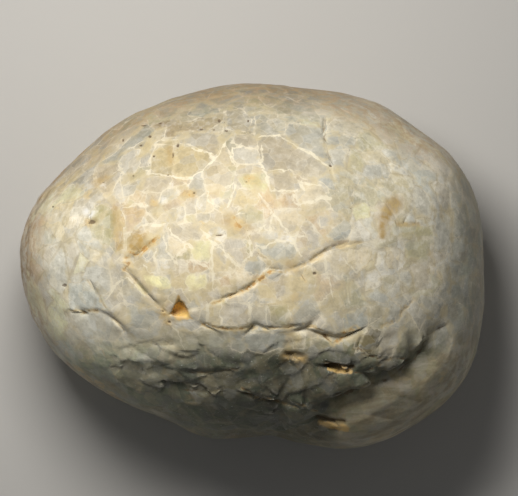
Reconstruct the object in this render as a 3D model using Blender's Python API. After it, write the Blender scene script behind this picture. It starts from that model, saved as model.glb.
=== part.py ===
"""Fossil sea urchin, made as one solid lump of stone.

The lump is the infilled shell of a helmet-shaped urchin.  Crushing broke its
skin into a mosaic of angular shards, opened a few long cracks and pushed the
edge of the dome over a smooth lower lobe.  It lies on a small flat spot on
its underside, with +Z up, its pointed end at -X and its blunt end at +X.
"""

import math
import random

import bmesh
import bpy
from mathutils import Vector, noise

MM = 0.001

# ---- whole form, in millimetres ----
DOME_HEIGHT = 29.0          # widest ring up to the crown
UNDERSIDE_DEPTH = 17.8      # widest ring down to the uncut underside
REST_HEIGHT = 17.0          # widest ring above the flat spot
UNDERSIDE_FULLNESS = 0.80   # below 1 keeps the underside full near the ring
# Distance from the middle to the outline, every 10 degrees from +X to +Y.
OUTLINE_STEP = 10.0
OUTLINE = (39.0, 39.0, 38.6, 37.3, 35.4, 34.0, 32.3, 30.7, 29.9,
           29.7, 29.6, 29.9, 30.7, 31.7, 32.8, 34.0, 36.1, 38.2,
           39.0, 38.5, 37.4, 35.8, 33.8, 32.0, 30.4, 30.2, 30.1,
           29.7, 30.2, 32.9, 35.9, 38.0, 40.0, 40.9, 40.2, 39.6)

# ---- lumps ----
LUMP_SIZE = 15.0
LUMP_HEIGHT = 0.55
SMALL_LUMP_SIZE = 6.0
SMALL_LUMP_HEIGHT = 0.28

# ---- shards ----
SEED = 41
SHARD_PITCH = 5.0           # spacing of the first breaks on the dome
FINE_PITCH = 4.4            # left of the middle
UNDERSIDE_PITCH = 10.0
SPLIT_AREA = 20.0           # a shard larger than this breaks in two
FINE_SPLIT_AREA = 12.5
UNDERSIDE_SPLIT_AREA = 85.0
DOMED_AREA = 30.0           # a shard larger than this gets a middle point
SHORT_EDGE = 0.9            # edges shorter than this close up
SEAM_HALF_WIDTH = 0.20
SEAM_DEPTH = (0.05, 0.15)
SHARD_OFFSET = 0.07         # how far a shard stands in or out
SHARD_TILT = 0.030          # slope of a shard against its bed
CORNER_JITTER = 0.20
REST_SNAP = 0.12            # corners this near the rest plane lie on it
GASH_LENGTH = 0.80          # a seam climbs out of a crack over this length
SEED_TRIES = 30000

# Low on the -Y flank the shards are crumpled into flat overlapping ledges.
LEDGE_ZONE_TOP = -12.5
LEDGE_TILT = 0.13
LEDGE_STRETCH = 1.5

# Shards that stand out by their size: middle x, middle y, clear radius.
LARGE_SHARDS = ((7.4, 17.2, 5.6), (-10.2, 16.4, 4.6), (-1.6, 22.6, 4.4),
                (19.5, 10.0, 4.8), (-23.5, -6.0, 3.6), (3.0, -14.4, 3.4))

# Rows of shards set side by side above the long ledge, as old plates.
PLATE_ROW = ((-9.6, -9.0), (-6.2, -9.2), (-2.3, -9.1), (3.0, -9.0),
             (8.3, -8.8))

# ---- cracks and ledges ----
# name, groove depth, groove half width, rise of the side that the path keeps
# on its right hand, reach of that rise, and the path in plan.
CRACKS = (
    ("long ledge", 1.15, 0.55, 0.50, 4.0,
     ((13.8, -13.8), (10.2, -11.1), (6.0, -11.2), (0.6, -11.1),
      (-3.6, -11.5), (-8.2, -10.6))),
    ("ledge notch", 1.10, 0.50, 0.35, 3.0,
     ((17.4, -11.4), (14.6, -13.2), (13.8, -13.8), (12.0, -12.6),
      (10.2, -11.1))),
    ("middle crack", 0.65, 0.40, 0.25, 3.0,
     ((5.9, -1.8), (3.2, -1.5), (-0.4, -4.5), (-3.5, -6.0),
      (-6.4, -7.2))),
    ("east crack", 0.50, 0.38, 0.20, 3.0,
     ((18.0, 3.0), (15.8, 2.7), (13.2, 2.0), (9.4, -0.4), (5.9, -1.8))),
    ("diagonal crack", 0.65, 0.38, 0.35, 3.0,
     ((-14.9, -8.3), (-17.6, -5.2), (-20.5, -2.1))),
    ("west crack", 0.60, 0.38, 0.20, 3.0,
     ((-15.3, 4.1), (-16.7, 2.6), (-19.2, 0.6), (-20.5, 0.6),
      (-20.9, -1.5))),
    ("left ledge", 0.70, 0.45, 0.35, 3.0,
     ((-20.6, -13.2), (-21.1, -11.3), (-23.0, -9.4), (-25.6, -8.5),
      (-30.1, -8.6))),
    ("left seam", 0.40, 0.32, 0.10, 2.0,
     ((-23.4, -8.9), (-25.3, -7.1), (-25.5, -5.5), (-27.5, -2.9))),
    ("upper crack", 0.60, 0.36, -0.15, 2.5,
     ((12.4, 23.6), (12.2, 20.5), (13.4, 15.6))),
    ("right patch", 0.55, 0.45, 0.25, 3.0,
     ((22.4, 9.0), (22.6, 5.4), (25.2, 6.0))),
    ("right notch", 0.60, 0.42, 0.30, 3.0,
     ((26.6, -16.4), (23.1, -16.3), (21.2, -16.4), (19.5, -15.7),
      (17.1, -14.8))),
    ("rust pocket", 1.90, 0.75, 0.40, 2.5,
     ((16.6, -18.2), (14.6, -18.3), (12.3, -17.3))),
    ("low ledge", 0.80, 0.45, 0.35, 3.0,
     ((21.8, -17.2), (19.5, -18.3), (17.2, -18.6))),
    ("foot ledge", 1.10, 0.50, 0.45, 3.0,
     ((11.0, -25.2), (8.9, -24.4), (6.9, -24.2), (4.5, -23.4),
      (1.1, -22.9), (-1.6, -21.4))),
    ("foot pocket", 1.20, 0.55, 0.30, 2.0,
     ((15.4, -27.7), (12.6, -27.2), (11.0, -26.0))),
    ("low left ledge", 0.55, 0.42, 0.35, 3.0,
     ((-2.2, -18.4), (-5.0, -18.1), (-7.3, -18.7), (-10.3, -18.5))),
    ("low left seam", 0.50, 0.38, 0.15, 2.0,
     ((-6.4, -23.2), (-5.5, -21.6), (-5.0, -18.1))),
    ("rim crack", 0.60, 0.45, 0.20, 3.0,
     ((-33.2, 11.6), (-35.8, 9.0), (-37.4, 5.4), (-37.8, 1.6))),
)
CRACK_PITCH = (2.5, 4.2)
CRACK_SIDE = 1.35

# ---- crease: the dome's edge standing over the lower lobe ----
CREASE = ((31.2, 10.6), (32.8, 3.5), (33.4, -3.6), (32.2, -9.8),
          (29.4, -13.8), (26.8, -16.6), (22.6, -19.5), (18.7, -21.8),
          (15.7, -22.5), (13.6, -23.3), (11.0, -25.4))
CREASE_DEPTH = 1.9
CREASE_LIP = 0.8
CREASE_LIP_REACH = 3.2
LOBE_REACH = 3.0
LOBE_RISE = 1.1
FLOOR_WIDTH = 0.40          # a corner this close to a path lies on its floor

# ---- pits: middle x, middle y, half size, depth, sides, turn in degrees ----
PITS = (
    ("triangular pit", -11.6, -8.4, 0.95, 1.9, 3, 270.0),
    ("sparry pit", -27.2, 6.9, 0.62, 0.8, 4, 20.0),
    ("rust spot", 6.6, -16.0, 0.60, 0.7, 4, 10.0),
)


def outline_radius(azimuth):
    """Outline distance at an azimuth, on a smooth closed curve."""
    place = (math.degrees(azimuth) % 360.0) / OUTLINE_STEP
    low = int(math.floor(place))
    t = place - low
    count = len(OUTLINE)
    p0, p1, p2, p3 = (OUTLINE[(low + k) % count] for k in (-1, 0, 1, 2))
    a = -0.5 * p0 + 1.5 * p1 - 1.5 * p2 + 0.5 * p3
    b = p0 - 2.5 * p1 + 2.0 * p2 - 0.5 * p3
    c = 0.5 * (p2 - p0)
    return ((a * t + b) * t + c) * t + p1


def bare_point(direction):
    """Point of the plain form for a unit direction."""
    flat = math.hypot(direction.x, direction.y)
    if flat < 1e-9:
        height = DOME_HEIGHT if direction.z > 0 else -UNDERSIDE_DEPTH
        return Vector((0.0, 0.0, height))
    reach = outline_radius(math.atan2(direction.y, direction.x))
    if direction.z >= 0.0:
        scale = reach
        height = DOME_HEIGHT * direction.z
    else:
        scale = reach * flat ** (UNDERSIDE_FULLNESS - 1.0)
        height = UNDERSIDE_DEPTH * direction.z
    return Vector((direction.x * scale, direction.y * scale, height))


def plan_direction(x, y):
    """Unit direction of the dome point that lies over x, y."""
    reach = outline_radius(math.atan2(y, x))
    u = x / reach
    v = y / reach
    return Vector((u, v, math.sqrt(max(0.0, 1.0 - u * u - v * v))))


def side_vectors(direction):
    """Two unit vectors square to a direction and to each other."""
    rough = Vector((1, 0, 0)) if abs(direction.x) < 0.8 else Vector((0, 1, 0))
    first = direction.cross(rough).normalized()
    return first, direction.cross(first).normalized()


def bare_normal(direction):
    """Outward normal of the plain form."""
    step = 0.01
    first, second = side_vectors(direction)
    along = (bare_point((direction + first * step).normalized())
             - bare_point((direction - first * step).normalized()))
    across = (bare_point((direction + second * step).normalized())
              - bare_point((direction - second * step).normalized()))
    normal = along.cross(across).normalized()
    return normal if normal.dot(direction) > 0 else -normal


def smooth(low, high, value):
    """Smooth step from 0 to 1."""
    t = min(1.0, max(0.0, (value - low) / (high - low)))
    return t * t * (3.0 - 2.0 * t)


def path_place(path, x, y):
    """Distance to a path, the side (+1 left hand), and the share along it."""
    best = (1e9, 1.0, 0.0)
    lengths = [math.hypot(b[0] - a[0], b[1] - a[1])
               for a, b in zip(path, path[1:])]
    total = sum(lengths)
    run = 0.0
    for (ax, ay), (bx, by), length in zip(path, path[1:], lengths):
        dx = (bx - ax) / length
        dy = (by - ay) / length
        along = min(length, max(0.0, (x - ax) * dx + (y - ay) * dy))
        ox = x - ax - along * dx
        oy = y - ay - along * dy
        distance = math.hypot(ox, oy)
        if distance < best[0]:
            side = 1.0 if dx * (y - ay) - dy * (x - ax) > 0 else -1.0
            best = (distance, side, (run + along) / total)
        run += length
    return best


def dome_share(point):
    """1 on the dome, fading to 0 just under the widest ring."""
    return smooth(-7.0, -1.0, point.z)


def crease_strength(share):
    """The crease is shallow at its upper right end and deep low down."""
    deep = smooth(0.36, 0.66, share) * (1.0 - 0.4 * smooth(0.85, 1.0, share))
    return 0.16 + 0.84 * deep


def relief(point):
    """Height of lumps, steps and the crease over the plain form."""
    coarse = noise.noise(point / LUMP_SIZE)
    small = noise.noise(point / SMALL_LUMP_SIZE + Vector((7.1, 3.3, 9.7)))
    height = LUMP_HEIGHT * coarse + SMALL_LUMP_HEIGHT * small
    top = dome_share(point)
    if top <= 0.0:
        return height
    distance, side, share = path_place(CREASE, point.x, point.y)
    strength = top * crease_strength(share)
    if distance < FLOOR_WIDTH:
        height -= strength * CREASE_DEPTH
    elif side < 0:
        height += strength * CREASE_LIP * math.exp(-distance / CREASE_LIP_REACH)
    else:
        sunk = CREASE_DEPTH * math.exp(-(distance / LOBE_REACH) ** 1.4)
        rise = LOBE_RISE * smooth(1.5, 5.0, distance) * smooth(11.0, 6.5, distance)
        height += strength * (rise - sunk)
    for _, _, _, rise, reach, path in CRACKS:
        distance, side, share = path_place(path, point.x, point.y)
        if distance > 2.5 * reach or (side > 0 and distance > FLOOR_WIDTH):
            continue
        ends = smooth(0.0, 0.15, share) * smooth(1.0, 0.85, share)
        part = 0.5 if distance < FLOOR_WIDTH else 1.0
        height += part * top * rise * ends * math.exp(-(distance / reach) ** 2)
    return height


def on_lobe(point):
    """1 on the smooth lobe outside the crease, 0 on the mosaic."""
    if point.z < -6.0:
        return 0.0
    distance, side, share = path_place(CREASE, point.x, point.y)
    if side < 0 or distance > 16.0 or share < 0.02:
        return 0.0
    return smooth(0.3, 1.2, distance)


def seam_strength(point):
    """How open the seams are: closed on the lobe, faint at the blunt end."""
    return (1.0 - 0.9 * on_lobe(point)) * (1.0 - 0.45 * smooth(20.0, 28.0, point.x))


def groove(point):
    """Depth and half width of the groove that runs through a point."""
    if point.z < 0.0:
        return 0.0, 0.0
    depth, half = 0.0, 0.0
    for _, full, half_width, _, _, path in CRACKS:
        distance, _, share = path_place(path, point.x, point.y)
        if distance > 0.6:
            continue
        ends = 0.35 + 0.65 * smooth(0.0, 0.2, share) * smooth(1.0, 0.8, share)
        if full * ends > depth:
            depth, half = full * ends, half_width
    distance, _, share = path_place(CREASE, point.x, point.y)
    if distance < FLOOR_WIDTH:
        strength = crease_strength(share)
        if strength * CREASE_DEPTH > depth:
            depth, half = 0.25 * strength * CREASE_DEPTH, 0.25 + 0.35 * strength
    return depth, half


def shard_pitch(point):
    """Spacing of shard middles about a point of the plain form."""
    if point.z < 0.0:
        share = smooth(-13.0, -3.0, point.z)
        return UNDERSIDE_PITCH + (SHARD_PITCH - UNDERSIDE_PITCH) * share
    if fine_zone(point):
        return FINE_PITCH
    return SHARD_PITCH


def fine_zone(point):
    """Left of the middle, where the shards are smallest."""
    return point.z > 0.0 and math.hypot(point.x + 7.0, point.y + 1.0) < 13.0


def ledge_zone(point):
    """Low on the -Y flank, where the shards are ledges along X."""
    return point.z > -4.0 and point.y < LEDGE_ZONE_TOP and -22.0 < point.x < 24.0


def crack_seeds(rng):
    """Pairs of shard middles set evenly across each crack and the crease."""
    pairs = []
    paths = [(path, CRACK_SIDE) for _, _, _, _, _, path in CRACKS]
    paths.append((CREASE, CRACK_SIDE * 1.15))
    for path, offset in paths:
        for (ax, ay), (bx, by) in zip(path, path[1:]):
            length = math.hypot(bx - ax, by - ay)
            count = max(1, round(length / rng.uniform(*CRACK_PITCH)))
            dx = (bx - ax) / length
            dy = (by - ay) / length
            for k in range(count):
                t = (k + 0.5 + rng.uniform(-0.12, 0.12)) * length / count
                side = offset * rng.uniform(0.85, 1.2)
                x = ax + dx * t
                y = ay + dy * t
                pairs.append(((x - dy * side, y + dx * side),
                              (x + dy * side, y - dx * side)))
    return pairs


def shard_seeds(rng):
    """Directions of all shard middles, the named ones first."""
    seeds, places, clear = [], [], []

    def add(direction, radius):
        seeds.append(direction.normalized())
        places.append(bare_point(seeds[-1]))
        clear.append(radius)

    def free(place, gap):
        stretch = LEDGE_STRETCH if ledge_zone(place) else 1.0
        for other, radius in zip(places, clear):
            step = place - other
            near = Vector((step.x / stretch, step.y * stretch, step.z * stretch))
            if step.length < radius or near.length < gap:
                return False
        return True

    for _, x, y, size, _, sides, turn in PITS:
        add(plan_direction(x, y), 0.0)
        for k in range(sides):
            angle = math.radians(turn) + math.tau * k / sides
            add(plan_direction(x + 2.0 * size * math.cos(angle),
                               y + 2.0 * size * math.sin(angle)), 0.9 * size)
    for x, y in PLATE_ROW:
        add(plan_direction(x, y), 2.2)
    for first, second in crack_seeds(rng):
        ends = [plan_direction(*first), plan_direction(*second)]
        if all(free(bare_point(end), 1.5) for end in ends):
            for end in ends:
                add(end, 0.0)
    for x, y, radius in LARGE_SHARDS:
        direction = plan_direction(x, y)
        if free(bare_point(direction), 2.0):
            add(direction, radius)
    for _ in range(SEED_TRIES):
        direction = Vector((rng.gauss(0, 1), rng.gauss(0, 1), rng.gauss(0, 1)))
        direction.normalize()
        place = bare_point(direction)
        if free(place, shard_pitch(place)):
            add(direction, 0.0)
    return seeds


def cells_about(seeds):
    """Mesh on the unit sphere with one face about each seed."""
    hull = bmesh.new()
    for seed in seeds:
        hull.verts.new(seed)
    bmesh.ops.convex_hull(hull, input=hull.verts)
    hull.normal_update()
    hull.verts.index_update()
    hull.faces.index_update()
    cells = bmesh.new()
    corners = [cells.verts.new(face.normal.copy()) for face in hull.faces]
    for vert in hull.verts:
        ring = []
        start = loop = vert.link_loops[0]
        while True:
            ring.append(corners[loop.face.index])
            loop = loop.link_loop_prev.link_loop_radial_next
            if loop is start:
                break
        if len(ring) > 2:
            face = cells.faces.new(ring)
            face.normal_update()
            if face.normal.dot(vert.co) < 0:
                face.normal_flip()
    hull.free()
    return cells


def cell_area(face):
    """Area of a cell on the plain form."""
    points = [bare_point(vert.co) for vert in face.verts]
    middle = sum(points, Vector()) / len(points)
    return sum((a - middle).cross(b - middle).length
               for a, b in zip(points, points[1:] + points[:1])) / 2.0


def split_cell(cells, face, rng):
    """Break a cell across its long way; the new corners lie on its edges."""
    verts = list(face.verts)
    points = [bare_point(vert.co) for vert in verts]
    middle = sum((vert.co for vert in verts), Vector()).normalized()
    pairs = [(i, j) for i in range(len(verts)) for j in range(i)]
    i, j = max(pairs, key=lambda pair: (points[pair[0]] - points[pair[1]]).length)
    normal = (verts[i].co - verts[j].co).normalized()
    normal.rotate(middle.rotation_difference(middle))
    angle = math.radians(rng.uniform(-32, 32))
    normal = (normal * math.cos(angle) + middle.cross(normal) * math.sin(angle))
    normal = (normal - middle * normal.dot(middle)).normalized()
    shift = 0.18 * rng.uniform(-1, 1) * (verts[i].co - verts[j].co).length
    level = normal.dot(middle) + shift
    crossed = []
    for edge in face.edges:
        a = normal.dot(edge.verts[0].co) - level
        b = normal.dot(edge.verts[1].co) - level
        if (a > 0) != (b > 0):
            crossed.append((edge, min(0.75, max(0.25, a / (a - b)))))
    if len(crossed) != 2:
        return None
    ends = []
    for edge, share in crossed:
        _, corner = bmesh.utils.edge_split(edge, edge.verts[0], share)
        corner.co.normalize()
        ends.append(corner)
    parts = bmesh.utils.face_split(face, ends[0], ends[1])
    return parts[0] if parts else None


def shard_cells(rng):
    """All shards as faces on the unit sphere."""
    cells = cells_about(shard_seeds(rng))
    pit_middles = [plan_direction(x, y) for _, x, y, _, _, _, _ in PITS]
    clear_middles = [plan_direction(x, y) for x, y, _ in LARGE_SHARDS]
    waiting = list(cells.faces)
    while waiting:
        face = waiting.pop()
        middle = face.calc_center_median().normalized()
        place = bare_point(middle)
        limit = SPLIT_AREA if place.z > -3.5 else UNDERSIDE_SPLIT_AREA
        if fine_zone(place):
            limit = FINE_SPLIT_AREA
        limit *= 1.0 + 0.3 * on_lobe(place)
        if any((middle - other).length < 0.06 for other in clear_middles):
            limit *= 4.0
        limit *= rng.uniform(0.75, 1.35)
        if cell_area(face) > limit:
            new = split_cell(cells, face, rng)
            if new is not None:
                waiting.extend((face, new))
    short = [edge for edge in cells.edges
             if (bare_point(edge.verts[0].co) - bare_point(edge.verts[1].co)).length < SHORT_EDGE]
    bmesh.ops.collapse(cells, edges=short)
    for vert in cells.verts:
        vert.co.normalize()
        place = bare_point(vert.co)
        if groove(place)[0] > 0 or any((vert.co - pit).length < 0.06 for pit in pit_middles):
            continue
        first, second = side_vectors(vert.co)
        size = CORNER_JITTER / place.length
        vert.co += (first * rng.uniform(-size, size) + second * rng.uniform(-size, size))
        vert.co.normalize()
    stop_gashes(cells)
    return cells


def stop_gashes(cells):
    """A corner near each crack, on the seams that run out of it."""
    for edge in list(cells.edges):
        ends = [(groove(bare_point(vert.co))[0], vert) for vert in edge.verts]
        ends.sort(key=lambda pair: pair[0])
        if ends[1][0] < 0.30 or ends[0][0] > 0.15:
            continue
        deep, plain = ends[1][1], ends[0][1]
        length = (bare_point(deep.co) - bare_point(plain.co)).length
        if length < 2.2 * GASH_LENGTH:
            continue
        _, corner = bmesh.utils.edge_split(edge, deep, GASH_LENGTH / length)
        corner.co.normalize()


def pit_depth(direction):
    """How deep a shard in this direction has sunk."""
    for _, x, y, size, depth, _, _ in PITS:
        gap = bare_point(direction) - bare_point(plan_direction(x, y))
        if gap.length < 0.6 * size:
            return depth
    return 0.0


def raised_skin(rng):
    """Skin of the lump: a raised plate on each shard, grooves between."""
    cells = shard_cells(rng)
    skin = bmesh.new()
    seam, half = {}, {}
    for vert in cells.verts:
        place = bare_point(vert.co)
        normal = bare_normal(vert.co)
        depth, half_width = groove(place)
        plain = rng.uniform(*SEAM_DEPTH) * seam_strength(place)
        half[vert] = max(half_width, SEAM_HALF_WIDTH)
        height = relief(place) - max(depth, plain)
        seam[vert] = skin.verts.new(place + normal * height)
    for face in cells.faces:
        corners = list(face.verts)
        middle = sum((vert.co for vert in corners), Vector()).normalized()
        middle_place = bare_point(middle)
        sunk = pit_depth(middle)
        open_share = seam_strength(middle_place)
        offset = rng.uniform(-SHARD_OFFSET, SHARD_OFFSET) * open_share
        tilt = Vector((rng.uniform(-1, 1), rng.uniform(-1, 1), rng.uniform(-1, 1)))
        tilt *= SHARD_TILT * open_share
        if ledge_zone(middle_place) and not on_lobe(middle_place):
            tilt.y -= LEDGE_TILT * rng.uniform(0.4, 1.4)
        ring = []
        for vert in corners:
            reach = (bare_point(vert.co) - middle_place).length
            share = min(0.42, 1.5 * half[vert] / reach)
            direction = vert.co.lerp(middle, share).normalized()
            place = bare_point(direction)
            height = relief(place) + offset + tilt.dot(place - middle_place) - sunk
            ring.append(skin.verts.new(place + bare_normal(direction) * height))
        if cell_area(face) > DOMED_AREA and not sunk:
            top = skin.verts.new(middle_place + bare_normal(middle) * (relief(middle_place) + offset))
            for a, b in zip(ring, ring[1:] + ring[:1]):
                skin.faces.new((a, b, top))
        else:
            skin.faces.new(ring)
        for k, vert in enumerate(corners):
            after = (k + 1) % len(corners)
            skin.faces.new((seam[vert], seam[corners[after]], ring[after], ring[k]))
    cells.free()
    return skin


def rest_cut(skin):
    """Cut the underside to its flat spot and close it with one face."""
    level = -REST_HEIGHT
    bmesh.ops.triangulate(skin, faces=skin.faces[:], quad_method="SHORT_EDGE", ngon_method="BEAUTY")
    for vert in skin.verts:
        if abs(vert.co.z - level) < REST_SNAP:
            vert.co.z = level
    bmesh.ops.bisect_plane(
        skin, geom=skin.verts[:] + skin.edges[:] + skin.faces[:],
        dist=0.0001, plane_co=(0, 0, level), plane_no=(0, 0, -1), clear_outer=True)
    in_plane = [face for face in skin.faces
                if all(abs(vert.co.z - level) < 0.001 for vert in face.verts)]
    bmesh.ops.delete(skin, geom=in_plane, context="FACES")
    bmesh.ops.delete(skin, geom=[edge for edge in skin.edges if edge.is_wire], context="EDGES")
    bmesh.ops.delete(skin, geom=[vert for vert in skin.verts if not vert.link_faces], context="VERTS")
    rim = [edge for edge in skin.edges if edge.is_boundary]
    bmesh.ops.holes_fill(skin, edges=rim, sides=0)


def build():
    rng = random.Random(SEED)
    skin = raised_skin(rng)
    rest_cut(skin)
    bmesh.ops.triangulate(skin, faces=skin.faces[:], quad_method="SHORT_EDGE", ngon_method="BEAUTY")
    bmesh.ops.recalc_face_normals(skin, faces=skin.faces[:])
    low = Vector([min(vert.co[k] for vert in skin.verts) for k in range(3)])
    high = Vector([max(vert.co[k] for vert in skin.verts) for k in range(3)])
    middle = (low + high) / 2.0
    for vert in skin.verts:
        vert.co = (vert.co - Vector((middle.x, middle.y, low.z))) * MM
    mesh = bpy.data.meshes.new("fossil_urchin")
    skin.to_mesh(mesh)
    skin.free()
    mesh.shade_smooth()
    mesh.set_sharp_from_angle(angle=math.radians(24))
    stone = bpy.data.materials.new("weathered_calcite")
    stone.use_nodes = True
    shader = stone.node_tree.nodes["Principled BSDF"]
    shader.inputs["Base Color"].default_value = (0.55, 0.49, 0.38, 1.0)
    shader.inputs["Roughness"].default_value = 0.62
    mesh.materials.append(stone)
    lump = bpy.data.objects.new("fossil_urchin", mesh)
    bpy.context.collection.objects.link(lump)
    return lump


for leftover in list(bpy.data.objects):
    bpy.data.objects.remove(leftover)
build()
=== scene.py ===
import math
import random

import bmesh
import bpy
import numpy as np
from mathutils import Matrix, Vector, noise
from mathutils.bvhtree import BVHTree
from mathutils.kdtree import KDTree


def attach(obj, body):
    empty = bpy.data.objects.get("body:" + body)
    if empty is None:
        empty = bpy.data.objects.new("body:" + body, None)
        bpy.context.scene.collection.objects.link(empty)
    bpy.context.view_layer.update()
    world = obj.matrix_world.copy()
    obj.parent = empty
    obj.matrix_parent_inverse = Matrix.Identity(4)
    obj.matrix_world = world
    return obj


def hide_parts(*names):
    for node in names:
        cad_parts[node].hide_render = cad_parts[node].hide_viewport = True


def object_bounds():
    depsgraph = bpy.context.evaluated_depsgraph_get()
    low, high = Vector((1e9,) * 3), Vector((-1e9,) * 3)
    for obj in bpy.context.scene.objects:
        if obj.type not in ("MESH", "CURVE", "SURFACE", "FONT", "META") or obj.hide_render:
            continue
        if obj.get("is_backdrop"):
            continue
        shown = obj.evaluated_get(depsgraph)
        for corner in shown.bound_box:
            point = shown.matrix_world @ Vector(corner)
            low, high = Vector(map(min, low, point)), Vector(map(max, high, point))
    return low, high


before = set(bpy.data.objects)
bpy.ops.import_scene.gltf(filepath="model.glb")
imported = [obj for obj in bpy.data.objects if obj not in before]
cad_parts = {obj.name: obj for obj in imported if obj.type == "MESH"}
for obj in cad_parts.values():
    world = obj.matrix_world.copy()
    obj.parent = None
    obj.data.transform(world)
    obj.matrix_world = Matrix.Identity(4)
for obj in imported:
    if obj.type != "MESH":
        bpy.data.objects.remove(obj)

MM = 0.001
cad_low, cad_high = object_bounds()


# ---------------------------------------------------------------------------
# Camera.  The lump lies on its underside and is looked at from straight above
# through a long lens, with its pointed end to the left.
# ---------------------------------------------------------------------------
VIEW_WIDTH = 87.0 * MM          # width that the picture takes in at the widest ring
RING_HEIGHT = 17.0 * MM
VIEW_MIDDLE = (1.2 * MM, 3.0 * MM)
LENS_MM = 700.0
camera_data = bpy.data.cameras.new("overhead_camera")
camera_data.lens = LENS_MM
camera_data.clip_start = 0.01
overhead = bpy.data.objects.new("overhead_camera", camera_data)
bpy.context.scene.collection.objects.link(overhead)
rise = VIEW_WIDTH * LENS_MM / camera_data.sensor_width
overhead.location = (VIEW_MIDDLE[0], VIEW_MIDDLE[1], RING_HEIGHT + rise)
bpy.context.scene.camera = overhead


# ---------------------------------------------------------------------------
# The skin of the fossil: one stone surface of shattered shell plates, healed
# with pale calcite along the breaks, rusty where iron got into the cracks.
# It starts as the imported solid's own shell, merged; worn breaks are closed,
# big plates are broken smaller, and the shell is cut finer and weathered.
# ---------------------------------------------------------------------------
UNDER_HEIGHT = 13.0 * MM        # above this the surface faces up or out
PIT_HEIGHT = 14.0               # in mm; pits, pocket and crease lie above this
MARK_HEIGHT = 12.0              # in mm; cracks, veins and stains lie above this
REST_HEIGHT = 0.05              # in mm; below this is the spot that it lies on
SEAM_ANGLE = math.radians(4.0)
OPEN_DEPTH = 0.11 * MM          # a break deeper than this may stay open
LONE_DEPTH = 0.30 * MM          # depth of a groove corner with no rim beside it
HEAL_REACH = 0.60 * MM
STEEP_REACH = 1.30 * MM         # on the steep sides, where grooves are stretched
STEEP_FACING = 0.70             # a surface that faces up less than this is steep
HEALED = 0.9                    # how far up to its rims a healed groove fills
SAME_PLACE = 1e-6               # corners nearer to each other, in metres, are one

# The crease above the lobe stays as deep as it is; other grooves fill up.
CREASE = ((31.0, 11.6), (32.6, 4.5), (33.2, -2.6), (32.6, -6.6))
CREASE_REACH = 0.55
CREASE_FACING = 0.45
# Open pits: middle x, middle y, reach.
OPEN_PITS = ((-11.8, -7.4, 2.4), (-27.4, 7.9, 1.6), (6.4, -15.0, 1.4))

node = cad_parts["fossil_urchin"]
skin = bpy.data.objects.new("urchin_skin", node.data.copy())
bpy.context.scene.collection.objects.link(skin)
bpy.ops.object.select_all(action="DESELECT")
skin.select_set(True)
bpy.context.view_layer.objects.active = skin
bpy.ops.object.mode_set(mode="EDIT")
bpy.ops.mesh.select_all(action="SELECT")
bpy.ops.mesh.remove_doubles(threshold=SAME_PLACE)
bpy.ops.object.mode_set(mode="OBJECT")
if skin.data.has_custom_normals:
    bpy.ops.mesh.customdata_custom_splitnormals_clear()


def fold(edge):
    """Signed angle over an edge: above 0 for a valley, below for a ridge."""
    first, second = edge.link_faces
    angle = first.normal.angle(second.normal, 0.0)
    across = second.calc_center_median() - first.calc_center_median()
    return angle if first.normal.dot(across) > 0 else -angle


def path_gap(path, x, y):
    """Distance in plan from points to a path, in millimetres."""
    best = np.full(np.shape(x), 1e3)
    for (ax, ay), (bx, by) in zip(path, path[1:]):
        dx, dy = bx - ax, by - ay
        along = np.clip(((x - ax) * dx + (y - ay) * dy) / (dx * dx + dy * dy), 0, 1)
        best = np.minimum(best, np.hypot(x - ax - along * dx, y - ay - along * dy))
    return best


# The grooves: valley edges, with the depth of the groove at each corner.
shell = bmesh.new()
shell.from_mesh(skin.data)
shell.normal_update()
shell.verts.ensure_lookup_table()
groove_corners = set()
for edge in shell.edges:
    if fold(edge) > SEAM_ANGLE:
        groove_corners.update(edge.verts)
depth_of = {}
for vert in groove_corners:
    rims = [other.co for other in (edge.other_vert(vert) for edge in vert.link_edges)
            if other not in groove_corners]
    heights = [(rim - vert.co).dot(vert.normal) for rim in rims]
    depth_of[vert] = max(0.0, sum(heights) / len(heights)) if heights else LONE_DEPTH


def stays_open(vert):
    """Whether a groove corner lies in a crease or in an open pit."""
    x, y = vert.co.x / MM, vert.co.y / MM
    if vert.co.z < PIT_HEIGHT * MM or depth_of[vert] < OPEN_DEPTH:
        return False
    if any(math.hypot(x - px, y - py) < reach for px, py, reach in OPEN_PITS):
        return True
    return vert.normal.z > CREASE_FACING and float(path_gap(CREASE, x, y)) < CREASE_REACH


def joined(start, belongs):
    """The faces that join on to a first one, edge by edge, as far as they belong."""
    group, waiting, seen = [start], [start], {start}
    while waiting:
        for edge in waiting.pop().edges:
            for other in edge.link_faces:
                if other not in seen and belongs(other):
                    seen.add(other)
                    group.append(other)
                    waiting.append(other)
    return group


open_corners = {vert for vert in groove_corners if stays_open(vert)}

# Each shard: faces that touch no groove, joined to their neighbours.  Groove
# faces then go with the shard beside them.
NO_SHARD = -1
shard_layer = shell.faces.layers.int.new("shard")
for face in shell.faces:
    face[shard_layer] = NO_SHARD


def free(face):
    """Whether a face has no shard yet and touches no groove."""
    return face[shard_layer] == NO_SHARD and not any(vert in groove_corners for vert in face.verts)


shard_count = 0
for start in shell.faces:
    if free(start):
        for face in joined(start, free):
            face[shard_layer] = shard_count
        shard_count += 1
GROOVE_FACES_ACROSS = 6
for _ in range(GROOVE_FACES_ACROSS):
    for face in shell.faces:
        if face[shard_layer] != NO_SHARD:
            continue
        beside = [(abs(fold(edge)), other[shard_layer]) for edge in face.edges
                  for other in edge.link_faces if other is not face and other[shard_layer] >= 0]
        if beside:
            face[shard_layer] = min(beside)[1]

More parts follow.
